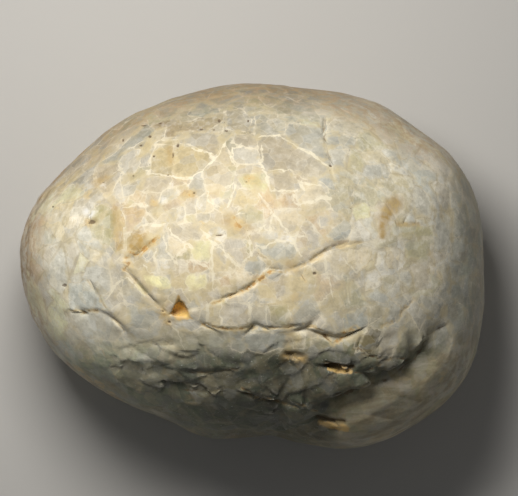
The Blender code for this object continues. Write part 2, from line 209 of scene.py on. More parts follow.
# Worn breaks close: each rim corner moves onto the groove, level with the rims.
heal = {}
for vert in shell.verts:
    if vert in groove_corners or vert.co.z < REST_HEIGHT * MM:
        continue
    near = [edge.other_vert(vert) for edge in vert.link_edges
            if edge.other_vert(vert) in groove_corners]
    if not near:
        continue
    groove = min(near, key=lambda other: (other.co - vert.co).length)
    reach = STEEP_REACH if vert.normal.z < STEEP_FACING else HEAL_REACH
    if (groove.co - vert.co).length < reach and groove not in open_corners:
        heal[vert] = groove
rims_of = {}
for rim, groove in heal.items():
    rims_of.setdefault(groove, []).append(rim.co.copy())
for groove, rims in rims_of.items():
    level = sum((rim - groove.co).dot(groove.normal) for rim in rims) / len(rims)
    groove.co += groove.normal * level * HEALED
bmesh.ops.weld_verts(shell, targetmap=heal)
bmesh.ops.dissolve_degenerate(shell, edges=shell.edges[:], dist=1e-7)
shell.to_mesh(skin.data)
shell.free()


def opened():
    """The skin's mesh while it is edited, and its layer of shard numbers."""
    cut = bmesh.from_edit_mesh(skin.data)
    return cut, cut.faces.layers.int["shard"]


def cut_across(chosen, place, across):
    """Cut the chosen faces of the skin with one plane, as a straight break."""
    bpy.ops.mesh.select_all(action="DESELECT")
    for face in chosen:
        face.select_set(True)
    bmesh.update_edit_mesh(skin.data)
    bpy.ops.mesh.bisect(plane_co=place, plane_no=across, threshold=SAME_PLACE)


# Broken smaller: a shard too large for its place splits across its length.
# Zone: middle x, middle y, reach in x, reach in y, largest area in mm2.
SPLIT_ZONES = (
    (-14.0, 4.0, 13.0, 13.0, 7.5),
    (1.0, 2.0, 9.0, 12.0, 9.0),
    (14.0, -2.0, 10.0, 8.0, 9.0),
)
LIMIT_SPREAD = (0.7, 1.6)       # how unevenly the largest area is kept to
SPLIT_TURN = 0.5                # how far a split may turn from square, in radians
SPLIT_SHIFT = 0.6               # how far it may lie off the middle, in mm
rng = random.Random(23)
bpy.ops.object.mode_set(mode="EDIT")
bpy.ops.mesh.select_mode(type="FACE")
for _ in range(3):
    cut, layer = opened()
    members = {}
    for face in cut.faces:
        members.setdefault(face[layer], []).append(face)
    too_large = []
    for number, faces in sorted(members.items()):
        area = sum(face.calc_area() for face in faces) / MM ** 2
        middle = sum((face.calc_center_median() for face in faces), Vector()) / len(faces)
        if middle.z < UNDER_HEIGHT:
            continue
        x, y = middle.x / MM, middle.y / MM
        limits = [limit for zx, zy, rx, ry, limit in SPLIT_ZONES
                  if ((x - zx) / rx) ** 2 + ((y - zy) / ry) ** 2 < 1]
        if limits and area > min(limits) * rng.uniform(*LIMIT_SPREAD):
            too_large.append(number)
    for number in too_large:
        cut, layer = opened()
        faces = [face for face in cut.faces if face[layer] == number]
        corners = sorted({vert for face in faces for vert in face.verts},
                         key=lambda vert: tuple(vert.co))
        if len(corners) < 4:
            continue
        points = np.array([tuple(vert.co) for vert in corners])
        middle = points.mean(axis=0)
        _, _, axes = np.linalg.svd(points - middle)
        normal = sum((face.normal for face in faces), Vector()).normalized()
        long_axis = Vector(axes[0])
        if long_axis.x + long_axis.y < 0:
            long_axis.negate()
        long_axis = (long_axis - normal * long_axis.dot(normal)).normalized()
        side = normal.cross(long_axis)
        turn = rng.uniform(-SPLIT_TURN, SPLIT_TURN)
        across = long_axis * math.cos(turn) + side * math.sin(turn)
        place = Vector(middle) + long_axis * rng.uniform(-SPLIT_SHIFT, SPLIT_SHIFT) * MM
        cut_across(faces, place, across)
        cut, layer = opened()
        for face in cut.faces:
            if face[layer] == number and (face.calc_center_median() - place).dot(across) > 0:
                face[layer] = shard_count
        shard_count += 1
bpy.ops.object.mode_set(mode="OBJECT")

# Shards that stand out on the dome: tone, and corners in millimetres.
TONES = {
    "tan": (0.700, 0.600, 0.385), "cream": (0.745, 0.655, 0.480), "beige": (0.620, 0.555, 0.430),
    "grey": (0.590, 0.555, 0.455), "blue": (0.545, 0.530, 0.450), "peach": (0.620, 0.480, 0.300),
    "amber": (0.540, 0.405, 0.200), "olive": (0.540, 0.485, 0.300), "straw": (0.735, 0.690, 0.440),
    "white": (0.740, 0.700, 0.600), "brown": (0.290, 0.235, 0.125), "lemon": (0.960, 0.910, 0.560),
}
NAMED_SHARDS = (
    ("tan", (-13.0, 20.0), (-11.9, 20.4), (-10.2, 20.3), (-8.6, 19.3), (-7.3, 18.6), (-6.4, 17.6),
     (-8.2, 15.6), (-10.0, 14.6), (-11.5, 14.4), (-13.0, 15.0), (-13.2, 17.8)),
    ("tan", (-16.7, 18.0), (-16.2, 20.2), (-13.0, 20.0), (-13.2, 17.8), (-13.0, 15.0), (-15.0, 14.9),
     (-16.3, 15.7), (-16.9, 17.0)),
    ("beige", (-12.6, 22.1), (-10.0, 22.3), (-5.5, 22.2), (-4.9, 20.2), (-6.0, 18.0), (-7.3, 18.6),
     (-8.6, 19.3), (-10.2, 20.3), (-11.9, 20.4)),
    ("grey", (-10.0, 14.6), (-8.2, 15.6), (-7.6, 12.2), (-8.8, 11.5), (-10.4, 12.9)),
    ("cream", (-8.2, 15.6), (-6.4, 17.6), (-4.8, 17.0), (-3.0, 15.6), (-3.6, 12.8), (-5.5, 12.3),
     (-7.6, 12.2)),
    ("peach", (-11.4, 12.6), (-10.1, 12.8), (-9.1, 11.6), (-10.8, 11.2)),
    ("white", (-22.0, 17.5), (-20.9, 19.7), (-18.6, 19.4), (-18.6, 17.0), (-19.6, 15.2), (-21.4, 15.3)),
    ("beige", (-18.0, 14.8), (-15.0, 14.9), (-13.0, 14.9), (-13.6, 13.0), (-15.5, 12.0), (-18.2, 12.6)),
    ("beige", (0.9, 21.3), (2.0, 21.7), (4.6, 21.7), (6.1, 20.7), (8.6, 19.5), (10.5, 18.3), (13.0, 16.3),
     (12.3, 15.0), (8.6, 14.4), (6.4, 15.9), (4.5, 15.6), (2.4, 15.5), (1.6, 17.0), (1.0, 19.3)),
    ("beige", (2.4, 15.5), (4.5, 15.6), (6.4, 15.9), (7.8, 14.2), (8.4, 12.6), (6.5, 12.1), (3.3, 12.1),
     (3.0, 13.4)),
    ("cream", (8.6, 13.6), (11.5, 14.0), (13.0, 12.4), (10.6, 10.7), (7.9, 10.2), (7.0, 12.0), (8.4, 12.6)),
    ("white", (-3.2, 19.8), (-1.6, 20.0), (1.0, 19.3), (1.6, 17.0), (-0.5, 16.9), (-3.0, 16.8)),
    ("cream", (-3.0, 16.8), (1.6, 17.0), (2.4, 15.5), (0.8, 15.3), (-1.8, 15.2), (-2.8, 15.4)),
    ("straw", (-2.4, 14.7), (-1.8, 15.2), (0.8, 15.3), (2.4, 15.5), (3.0, 13.4), (1.8, 12.0), (0.5, 12.7),
     (-1.5, 13.0)),
    ("tan", (-2.2, 13.0), (0.5, 12.7), (1.3, 11.4), (0.9, 10.4), (-1.8, 9.6), (-3.4, 9.9), (-3.0, 11.0)),
    ("beige", (-3.4, 20.6), (-3.0, 21.9), (0.4, 21.9), (0.9, 21.3), (0.6, 19.7), (-1.6, 20.0)),
    ("beige", (-4.8, 24.5), (-4.5, 25.9), (-1.8, 26.1), (0.0, 24.4), (-0.3, 22.4), (-2.5, 22.3),
     (-4.2, 22.8)),
    ("grey", (0.5, 25.5), (3.4, 25.6), (5.9, 24.3), (5.3, 22.2), (4.6, 21.7), (0.7, 21.7)),
    ("grey", (6.0, 24.0), (9.0, 23.6), (12.0, 23.0), (12.0, 20.4), (12.7, 17.4), (11.4, 17.7), (8.6, 19.5),
     (6.1, 20.7), (5.3, 22.2)),
    ("peach", (-21.8, 10.1), (-17.5, 10.3), (-18.1, 7.4), (-19.3, 6.4), (-20.8, 5.5)),
    ("amber", (-18.2, 6.9), (-16.8, 4.6), (-18.0, 2.4), (-19.6, 1.9), (-20.8, 2.5), (-20.9, 4.3),
     (-19.6, 5.8)),
    ("cream", (-18.2, 6.9), (-14.3, 6.9), (-15.3, 5.0), (-16.8, 4.6)),
    ("amber", (-16.8, 4.6), (-15.3, 5.0), (-16.6, 3.4), (-18.3, 1.9), (-18.0, 2.4)),
    ("olive", (-27.2, 8.0), (-26.4, 9.9), (-24.8, 10.4), (-23.6, 9.8), (-24.8, 8.3), (-24.9, 4.2),
     (-26.4, 4.6)),
    ("amber", (-22.4, 9.0), (-21.8, 9.8), (-21.2, 6.0), (-21.2, 2.5), (-22.5, 2.0), (-22.2, 5.0)),
    ("grey", (-15.2, 5.4), (-14.0, 4.8), (-13.7, 2.6), (-12.9, 1.0), (-15.9, 1.0), (-16.2, 3.0)),
    ("white", (-15.9, 1.0), (-12.9, 1.0), (-12.6, -0.6), (-15.4, -1.0)),
    ("cream", (-14.0, 4.8), (-12.0, 3.9), (-10.2, 3.1), (-11.8, 1.8), (-12.6, 1.7), (-13.7, 2.6)),
    ("olive", (-11.8, 1.8), (-10.2, 3.1), (-9.6, 0.9), (-12.4, 0.9), (-12.6, 1.7)),
    ("beige", (-14.0, 6.9), (-8.2, 7.0), (-8.4, 5.7), (-9.4, 4.4), (-12.0, 3.9), (-14.0, 4.8)),
    ("straw", (-9.4, 4.4), (-6.6, 4.5), (-6.4, 1.6), (-7.4, 0.3), (-8.9, 0.9), (-9.6, 0.9), (-10.2, 3.1)),
    ("lemon", (-18.0, -1.2), (-14.0, -1.6), (-13.0, -3.6), (-15.5, -3.8), (-17.2, -3.3)),
    ("lemon", (-10.5, -1.2), (-7.4, -1.2), (-7.5, -3.6), (-10.0, -3.8), (-11.0, -2.5)),
    ("grey", (-21.4, -1.8), (-20.6, -2.0), (-15.6, -7.2), (-19.0, -6.6), (-20.6, -6.5), (-21.8, -4.0)),
    ("blue", (-30.6, -2.9), (-26.9, -2.3), (-25.2, -5.2), (-24.2, -7.0), (-25.7, -7.4), (-30.3, -7.5)),
    ("blue", (-20.6, -6.5), (-19.0, -6.6), (-15.8, -7.3), (-15.0, -8.6), (-17.0, -10.6), (-20.5, -9.8)),
    ("white", (-13.8, -9.0), (-9.0, -9.1), (-7.8, -10.0), (-12.4, -10.5)),
    ("beige", (-4.2, 4.6), (-2.0, 4.6), (-0.8, 3.6), (-0.5, 1.6), (-2.0, 0.0), (-5.0, 2.6)),
    ("white", (4.4, 5.3), (7.6, 5.2), (6.9, 4.0), (4.2, 4.0)),
    ("olive", (-2.0, 9.4), (2.2, 9.4), (1.8, 7.2), (-0.3, 7.0), (-2.0, 7.0)),
    ("cream", (3.6, 9.4), (8.2, 9.4), (7.6, 5.2), (4.4, 5.3)),
    ("blue", (0.7, 3.9), (4.2, 4.0), (6.9, 4.0), (8.0, 2.0), (3.5, 0.6), (1.4, 2.3)),
    ("blue", (-1.4, -1.0), (-0.8, 0.9), (1.0, 1.6), (2.7, 0.0), (1.2, -1.5)),
    ("tan", (-7.4, -6.4), (-4.9, -6.2), (-4.9, -9.7), (-7.4, -9.4)),
    ("beige", (-4.9, -6.2), (-0.2, -6.4), (-0.2, -9.8), (-4.9, -9.7)),
    ("grey", (-0.2, -6.4), (2.3, -6.4), (3.6, -9.8), (-0.2, -9.8)),
    ("olive", (2.3, -6.4), (6.1, -6.4), (6.1, -9.9), (3.6, -9.8)),
    ("blue", (-3.8, -11.0), (5.6, -10.8), (6.8, -13.4), (2.0, -14.4), (-3.2, -13.6)),
    ("tan", (6.4, -10.9), (8.7, -10.8), (8.8, -13.6), (6.9, -13.8)),
    ("beige", (10.9, 8.9), (14.2, 9.2), (15.2, 7.9), (12.9, 6.2), (11.2, 6.4)),
    ("blue", (12.0, 5.0), (13.0, 6.2), (15.2, 7.7), (16.8, 7.0), (16.2, 4.6), (13.6, 4.0)),
    ("cream", (13.4, 2.4), (17.0, 3.2), (17.4, 0.8), (14.9, -0.6), (13.0, 0.4)),
    ("cream", (17.0, 3.2), (19.8, 3.4), (19.6, 0.6), (17.6, -1.0), (17.4, 0.8)),
    ("straw", (16.8, 9.6), (18.8, 10.6), (20.0, 9.6), (19.6, 8.0), (17.2, 7.8)),
    ("beige", (20.6, 4.0), (20.2, 6.4), (20.6, 10.2), (22.6, 11.3), (25.2, 11.4), (25.2, 8.5), (23.1, 6.6),
     (22.6, 4.6)),
    ("brown", (17.4, -11.3), (20.4, -10.4), (21.8, -11.0), (20.9, -13.4), (19.6, -14.7), (17.0, -13.7)),
    ("beige", (21.8, -11.0), (22.6, -9.9), (24.4, -10.6), (24.8, -12.2), (23.2, -14.9), (20.9, -15.2),
     (20.9, -13.4)),
    ("olive", (-24.9, 4.2), (-23.6, 3.2), (-22.5, 2.0), (-22.2, 5.0), (-22.4, 9.0), (-23.6, 9.8),
     (-24.8, 8.3)),
    ("olive", (24.4, 6.9), (27.8, 6.9), (30.3, 6.4), (30.4, 4.6), (24.6, 4.4)),
    ("olive", (25.0, 4.4), (29.6, 4.6), (29.2, 0.6), (25.4, 1.2)),
    ("beige", (26.2, 0.9), (29.2, 0.6), (29.8, -3.8), (26.8, -4.4)),
    ("grey", (30.4, 9.2), (33.4, 8.8), (33.0, 2.0), (30.4, 2.4)),
    ("cream", (22.0, 3.0), (24.6, 2.8), (24.4, -0.4), (22.2, -0.6)),
    ("grey", (-30.3, -7.5), (-25.7, -7.4), (-23.6, -7.9), (-21.0, -10.7), (-22.6, -12.6), (-28.2, -12.0)),
)
# Pale healed veins that run across the shards.
PALE_VEINS = (
    ((-13.9, 6.2), (-13.2, 5.0), (-12.0, 4.3), (-11.0, 3.8), (-10.2, 3.2), (-9.8, 2.8)),
    ((-14.9, 5.2), (-14.2, 3.8), (-13.9, 2.6), (-13.4, 1.9), (-12.9, 1.0), (-12.6, 0.2)),
    ((-8.6, 6.0), (-7.6, 5.2), (-6.6, 4.4), (-5.9, 3.9), (-5.0, 3.0), (-4.2, 2.0), (-3.4, 1.0), (-2.6, 0.2),
     (-2.0, -0.6)),
    ((-11.0, 3.6), (-11.6, 2.6), (-12.4, 1.5), (-12.9, 1.0)),
    ((-6.4, 4.2), (-6.5, 2.4), (-6.4, 0.6), (-6.5, -1.0), (-6.4, -4.0)),
    ((-21.5, 9.6), (-20.4, 10.1), (-19.0, 10.2), (-17.2, 10.1)),
    ((-18.2, 6.9), (-16.6, 7.0), (-15.0, 6.9), (-14.2, 7.0)),
    ((-9.6, 0.9), (-8.6, 0.5), (-7.4, 0.0), (-6.5, -0.7)),
    ((-9.3, 0.9), (-9.4, -0.9)),
    ((-18.2, 0.2), (-17.6, -0.2), (-16.9, -1.2), (-15.6, -1.0)),
    ((-11.9, 0.6), (-10.2, 0.3)),
    ((-16.0, 3.0), (-16.1, 1.6), (-15.9, 0.9)),
    ((-7.4, 12.2), (-7.2, 10.6), (-6.2, 9.9), (-4.8, 9.3)),
    ((-2.6, 14.0), (-2.9, 12.4), (-3.4, 11.2), (-3.7, 10.0), (-4.0, 9.2)),
    ((-4.8, 12.8), (-3.8, 13.1), (-2.9, 13.8)),
    ((1.2, 11.9), (2.0, 10.7), (2.6, 10.0), (3.1, 9.3), (3.8, 8.3), (4.6, 7.3), (5.2, 6.6), (5.9, 5.8),
     (6.3, 4.7),
     (6.8, 4.4), (7.4, 3.2), (8.1, 2.0), (8.5, 1.4)),
    ((7.0, 12.0), (7.0, 11.0), (7.3, 10.4), (7.9, 10.1), (8.8, 10.5), (10.0, 10.7), (11.0, 11.1),
     (12.2, 11.6), (13.6, 11.0)),
    ((2.8, 13.8), (3.1, 12.9), (3.3, 12.4), (4.4, 12.3), (6.0, 12.3), (7.8, 12.3)),
    ((8.0, 14.2), (8.2, 13.2), (8.6, 12.4)),
    ((8.8, 13.6), (10.2, 13.7), (11.4, 13.4)),
    ((-0.7, 6.6), (-0.5, 5.8), (-0.3, 4.0), (-0.4, 2.8), (-0.2, 2.0), (-1.0, 1.0), (-1.7, 0.6)),
    ((0.6, 3.2), (2.0, 3.3), (3.0, 3.7), (4.4, 4.0)),
    ((0.9, 5.2), (1.6, 6.2), (2.3, 6.9)),
    ((3.5, 8.6), (3.3, 7.2), (3.2, 6.0), (2.9, 5.2)),
    ((6.1, 5.1), (8.6, 5.0)),
    ((-3.2, 8.3), (-2.0, 8.8), (-1.0, 9.0)),
    ((-17.6, 15.8), (-15.0, 15.0), (-13.0, 14.9), (-11.7, 14.4), (-10.0, 14.6), (-8.2, 15.6), (-6.4, 17.6),
     (-5.6, 18.2),
     (-4.5, 20.8)),
    ((-10.1, 19.7), (-8.6, 19.3), (-7.3, 18.6), (-6.0, 17.7)),
    ((0.9, 21.3), (2.0, 21.7), (4.6, 21.7), (6.1, 20.7), (8.6, 19.5), (10.5, 18.3), (13.0, 16.3)),
    ((1.7, 20.3), (1.6, 17.0), (2.4, 15.5), (3.0, 13.4)),
    ((2.6, 15.7), (5.6, 15.8)),
    ((-3.2, 16.8), (-3.2, 19.8), (-1.6, 20.0)),
    ((14.8, 1.5), (15.8, 0.2), (17.3, -1.0), (18.4, 0.0), (19.3, 1.0), (19.8, 3.5)),
    ((12.1, 1.5), (12.6, -1.6), (13.4, -5.7)),
    ((23.5, 0.7), (24.9, -3.2), (26.0, -6.0)),
    ((-21.6, -2.4), (-20.5, -1.9), (-19.6, -2.9), (-18.8, -3.7)),
    ((-24.6, -6.0), (-22.6, -3.4), (-21.6, -2.4)),
    ((-7.4, -6.2), (-7.5, -9.8)),
    ((-4.9, -6.0), (-4.9, -9.8)),
    ((-0.2, -6.2), (-0.3, -9.9)),
    ((2.3, -6.2), (2.6, -10.0)),
    ((6.1, -6.2), (6.1, -9.8)),
    ((-15.2, -7.6), (-13.6, -9.4), (-12.2, -10.8), (-11.6, -13.0), (-11.0, -15.0)),
)
# Open cracks: path, depth, half width, dark, rust on the lips, rust reach.
CRACKS = (
    (((-8.4, -9.6), (-6.0, -10.2), (-3.8, -10.4), (0.4, -10.1), (3.0, -10.3)), 0.16, 0.32, 0.50, 0.80, 0.50),
    (((3.0, -10.3), (5.8, -10.1), (8.4, -9.9), (10.0, -10.1), (11.8, -11.2),
      (13.6, -12.7)), 0.26, 0.34, 0.78, 0.60, 0.50),
    (((13.6, -12.7), (14.4, -12.2), (15.6, -11.2), (17.2, -10.4)), 0.12, 0.34, 0.25, 0.80, 0.80),
    (((3.4, -0.6), (2.6, -1.2), (1.4, -2.0), (0.2, -3.1), (-0.8, -3.7)), 0.07, 0.30, 0.55, 1.10, 0.50),
    (((-0.8, -3.7), (-3.7, -5.1), (-6.6, -6.2)), 0.08, 0.30, 0.35, 0.75, 0.55),
    (((5.7, -0.8), (4.6, -0.8), (3.4, -0.6)), 0.08, 0.30, 0.35, 0.50, 0.50),
    (((5.7, -0.8), (8.0, -0.2), (9.3, 0.6)), 0.12, 0.32, 0.25, 0.40, 0.50),
    (((9.3, 0.6), (10.4, 1.1), (11.6, 1.9), (12.6, 2.8), (14.4, 3.1), (16.0, 3.7),
      (17.8, 4.0)), 0.12, 0.32, 0.55, 0.50, 0.60),
    (((-15.1, -7.3), (-16.6, -5.6), (-18.2, -3.6)), 0.05, 0.30, 0.22, 0.30, 0.45),
    (((-18.2, -3.6), (-19.2, -2.3), (-20.3, -1.0), (-21.2, -0.5)), 0.06, 0.30, 0.32, 0.30, 0.45),
    (((-15.4, 4.6), (-16.8, 3.7), (-18.0, 2.6), (-18.8, 1.9), (-20.4, 2.0)), 0.07, 0.30, 0.45, 1.15, 0.60),
    (((-20.4, 2.0), (-20.9, 0.8), (-20.2, 0.3), (-21.2, -0.5)), 0.09, 0.30, 0.35, 0.75, 0.70),
    (((-30.3, -7.5), (-27.8, -7.6), (-25.7, -7.4)), 0.18, 0.32, 0.60, 0.60, 0.45),
    (((-27.5, -2.0), (-26.2, -3.9), (-25.2, -5.2), (-24.2, -7.0), (-23.6, -7.9),
      (-21.0, -10.7)), 0.07, 0.30, 0.22, 0.30, 0.45),
    (((12.2, 24.6), (12.0, 21.5), (13.2, 16.6)), 0.16, 0.34, 0.40, 0.10, 0.30),
    (((21.5, -9.9), (23.2, -9.4), (24.4, -8.6), (25.2, -7.2), (26.6, -5.9)), 0.10, 0.32, 0.35, 0.45, 0.60),
    (((24.4, 6.9), (27.8, 6.9)), 0.08, 0.30, 0.0, 0.40, 0.50),
    (((26.4, -15.4), (22.9, -15.3), (21.0, -15.4), (19.3, -14.7),
      (16.9, -13.8)), 0.22, 0.34, 0.85, 0.25, 0.50),
    (((21.6, -16.2), (19.3, -17.3), (17.0, -17.6)), 0.16, 0.34, 0.70, 0.20, 0.40),
    (((14.0, -21.8), (16.0, -21.0), (18.5, -20.2), (22.0, -18.8), (24.6, -17.2), (27.0, -15.5),
      (29.5, -11.2), (32.4, -9.9)),
     0.28, 0.45, 0.65, 0.15, 0.50),
    (((10.8, -24.2), (8.7, -23.4), (6.7, -23.2), (4.3, -22.4), (0.9, -21.9),
      (-1.8, -20.4)), 0.24, 0.38, 0.85, 0.35, 0.50),
    (((-2.4, -17.4), (-5.2, -17.1), (-7.5, -17.7), (-10.5, -17.5)), 0.18, 0.34, 0.65, 0.20, 0.40),
    (((-5.0, -20.6), (-8.4, -20.9), (-12.0, -20.6)), 0.18, 0.34, 0.60, 0.20, 0.40),
    (((-13.2, -12.9), (-16.2, -12.8)), 0.20, 0.34, 0.60, 0.15, 0.40),
    (((1.0, 2.1), (1.7, 1.6), (2.5, 1.2)), 0.10, 0.30, 0.60, 0.20, 0.40),
    (((-5.9, 5.1), (-4.6, 5.2)), 0.10, 0.30, 0.55, 0.30, 0.40),
    (((-8.4, 7.1), (-7.7, 6.4)), 0.12, 0.32, 0.60, 0.60, 0.60),
    (((-3.0, 8.0), (-2.5, 7.3), (-1.8, 6.4)), 0.06, 0.30, 0.35, 0.80, 0.60),
    (((8.0, -1.4), (8.8, -2.4)), 0.14, 0.32, 0.65, 0.50, 0.50),
    (((-8.7, 11.5), (-7.5, 11.3)), 0.10, 0.30, 0.50, 0.20, 0.40),
)
CRUMB = 1.3                     # a shard smaller than this, in mm2, joins its neighbour
STEP = 0.10                     # how closely a side is followed, in mm
SLIVER = 0.004 * MM


def back_to_triangles():
    """Cut every face of the skin with more than three corners back to triangles."""
    bpy.ops.mesh.quads_convert_to_tris(quad_method="SHORTEST_DIAGONAL", ngon_method="BEAUTY")


bpy.ops.object.mode_set(mode="EDIT")
bpy.ops.mesh.select_mode(type="FACE")
sides = set()
for _, *corners in NAMED_SHARDS:
    for start, end in zip(corners, corners[1:] + corners[:1]):
        sides.add(tuple(sorted((start, end))))
for path in [path for path, *_ in CRACKS] + list(PALE_VEINS):
    for start, end in zip(path, path[1:]):
        sides.add(tuple(sorted((start, end))))
for (ax, ay), (bx, by) in sorted(sides):
    cut, _ = opened()
    cut.faces.ensure_lookup_table()
    surface = BVHTree.FromBMesh(cut)
    length = math.hypot(bx - ax, by - ay)
    crossed = set()
    for k in range(-1, int(length / STEP) + 2):
        share = k * STEP / length
        above = Vector(((ax + (bx - ax) * share) * MM, (ay + (by - ay) * share) * MM, 1.0))
        crossed.add(surface.ray_cast(above, Vector((0, 0, -1)))[2])
    across = Vector((by - ay, ax - bx, 0)).normalized()
    cut_across([cut.faces[index] for index in sorted(crossed)], (ax * MM, ay * MM, 0), across)
    back_to_triangles()


def inside(x, y, corners):
    """Whether a point in plan lies inside a ring of corners."""
    odd = False
    for (ax, ay), (bx, by) in zip(corners, corners[1:] + corners[:1]):
        if (ay > y) != (by > y) and x < (bx - ax) * (y - ay) / (by - ay) + ax:
            odd = not odd
    return odd


named_tone = {}
cut, layer = opened()
for tone, *corners in NAMED_SHARDS:
    xs, ys = [x for x, _ in corners], [y for _, y in corners]
    for face in cut.faces:
        middle = face.calc_center_median()
        x, y = middle.x / MM, middle.y / MM
        in_box = min(xs) < x < max(xs) and min(ys) < y < max(ys)
        if middle.z > UNDER_HEIGHT and in_box and inside(x, y, corners):
            face[layer] = shard_count
    named_tone[shard_count] = tone
    shard_count += 1
bpy.ops.mesh.select_all(action="SELECT")
bpy.ops.mesh.dissolve_degenerate(threshold=SLIVER)
back_to_triangles()

# Whole shards: each separate patch of faces gets a number of its own, and
# crumbs go to the neighbour that they share the longest side with.
cut, layer = opened()
cut.faces.ensure_lookup_table()
patch_of, patches = {}, []
for start in cut.faces:
    if start.index in patch_of:
        continue
    group = joined(start, lambda other: other[layer] == start[layer])
    for face in group:
        patch_of[face.index] = len(patches)
    patches.append(group)
size_of = [sum(face.calc_area() for face in group) / MM ** 2 for group in patches]
for number in sorted(range(len(patches)), key=lambda entry: (size_of[entry], entry)):
    if size_of[number] > CRUMB or patches[number][0].calc_center_median().z < UNDER_HEIGHT:
        continue
    shared = {}
    for face in patches[number]:
        for edge in face.edges:
            for other in edge.link_faces:
                beside = patch_of[other.index]
                if beside != number:
                    shared[beside] = shared.get(beside, 0.0) + edge.calc_length()
    if not shared:
        continue
    taker = max(shared, key=lambda entry: (shared[entry], entry))
    for face in patches[number]:
        patch_of[face.index] = taker
    patches[taker] += patches[number]
    size_of[taker] += size_of[number]
    patches[number] = []
tone_of = {}
shard_count = 0
for group in patches:
    if group:
        if group[0][layer] in named_tone:
            tone_of[shard_count] = named_tone[group[0][layer]]
        for face in group:
            face[layer] = shard_count
        shard_count += 1

# Cut finer.  The breaks stay edges of the mesh, so that they keep their lines.
TOP_EDGE = 0.90 * MM            # longest edge on the dome
BED_EDGE = 0.62 * MM            # on the crumpled low flank
UNDER_EDGE = 1.60 * MM
PIT_EDGE = 0.24 * MM            # beside a small pit
FINE_EDGE = 0.34 * MM
CRACK_EDGE = 0.48 * MM
# Finer still: middle x, middle y, reach.
FINE_PLACES = ((-11.9, -7.2, 2.9), (14.6, -17.0, 2.4), (13.6, -26.4, 2.4), (7.2, -15.4, 1.8))
# Small dark pits: middle x, middle y, half width, half height, depth, in mm.
SMALL_PITS = (
    (-8.4, 22.8, 0.30, 0.18, 0.30), (-6.3, 22.7, 0.24, 0.14, 0.20), (-4.2, 22.5, 0.36, 0.16, 0.26),
    (-0.6, 24.2, 0.20, 0.24, 0.25), (-12.3, 20.1, 0.26, 0.42, 0.35), (-13.1, 18.4, 0.14, 0.55, 0.22),
    (-16.3, 18.3, 0.22, 0.20, 0.28), (-18.5, 20.1, 0.26, 0.18, 0.25), (-17.0, 21.6, 0.32, 0.22, 0.25),
    (-5.4, 24.2, 0.30, 0.34, 0.20), (-21.5, 21.0, 0.20, 0.30, 0.22), (-15.3, 23.8, 0.30, 0.16, 0.20),
    (-9.6, 12.1, 0.26, 0.18, 0.22), (-13.9, 15.1, 0.16, 0.14, 0.16), (-0.9, 14.0, 0.22, 0.14, 0.18),
    (-33.2, 9.9, 0.26, 0.20, 0.14), (-31.2, -3.2, 0.44, 0.34, 0.10), (-26.6, 7.3, 0.80, 0.40, 0.22),
    (-14.7, -7.5, 0.26, 0.20, 0.20), (-13.7, -9.3, 0.32, 0.22, 0.20), (13.1, 16.7, 0.26, 0.22, 0.24),
    (-24.7, 14.0, 0.22, 0.14, 0.14), (10.4, -1.2, 0.40, 0.30, 0.16),
    (-18.0, 23.4, 0.55, 0.16, 0.14), (-19.7, 15.0, 0.22, 0.14, 0.14), (-5.4, 5.1, 0.7, 0.14, 0.16),
)

def pull(items, name, width=1, kind=float):
    """One value of each item of a mesh, as an array."""
    values = np.empty(len(items) * width, kind)
    items.foreach_get(name, values)
    return values.reshape(-1, width) if width > 1 else values


def edge_table():
    """Ends, lengths and middles of the skin's edges, in millimetres."""
    where = pull(skin.data.vertices, "co", 3) / MM
    ends = pull(skin.data.edges, "vertices", 2, np.int32)
    lengths = np.linalg.norm(where[ends[:, 0]] - where[ends[:, 1]], axis=1)
    return ends, lengths, (where[ends[:, 0]] + where[ends[:, 1]]) / 2


def shards_beside(ends_count):
    """Lowest and highest shard number beside each edge of the skin."""
    mesh = skin.data
    loop_edges = pull(mesh.loops, "edge_index", 1, np.int32)
    numbers = pull(mesh.attributes["shard"].data, "value", 1, np.int32)
    per_loop = np.repeat(numbers, pull(mesh.polygons, "loop_total", 1, np.int32))
    low, high = np.full(ends_count, 1 << 30), np.full(ends_count, -1)
    np.minimum.at(low, loop_edges, per_loop)
    np.maximum.at(high, loop_edges, per_loop)
    return low, high


def halve(picked):
    """Halve the picked edges and cut the faces back to triangles."""
    mesh = skin.data
    bpy.ops.object.mode_set(mode="EDIT")
    bpy.ops.mesh.select_mode(type="EDGE")
    bpy.ops.mesh.select_all(action="DESELECT")
    bpy.ops.object.mode_set(mode="OBJECT")
    mesh.edges.foreach_set("select", picked)
    bpy.ops.object.mode_set(mode="EDIT")
    bpy.ops.mesh.subdivide(number_cuts=1)
    bpy.ops.mesh.select_all(action="SELECT")
    back_to_triangles()
    # Now and then an edge keeps its full length, with an empty flap folded on it.
    cut = bmesh.from_edit_mesh(mesh)
    bpy.ops.mesh.select_mode(type="FACE")
    bpy.ops.mesh.select_all(action="DESELECT")
    for face in cut.faces:
        if sum(len(edge.link_faces) == 1 for edge in face.edges) == 2:
            face.select_set(True)
    bmesh.update_edit_mesh(mesh)
    bpy.ops.mesh.delete(type="FACE")
    bpy.ops.object.mode_set(mode="OBJECT")


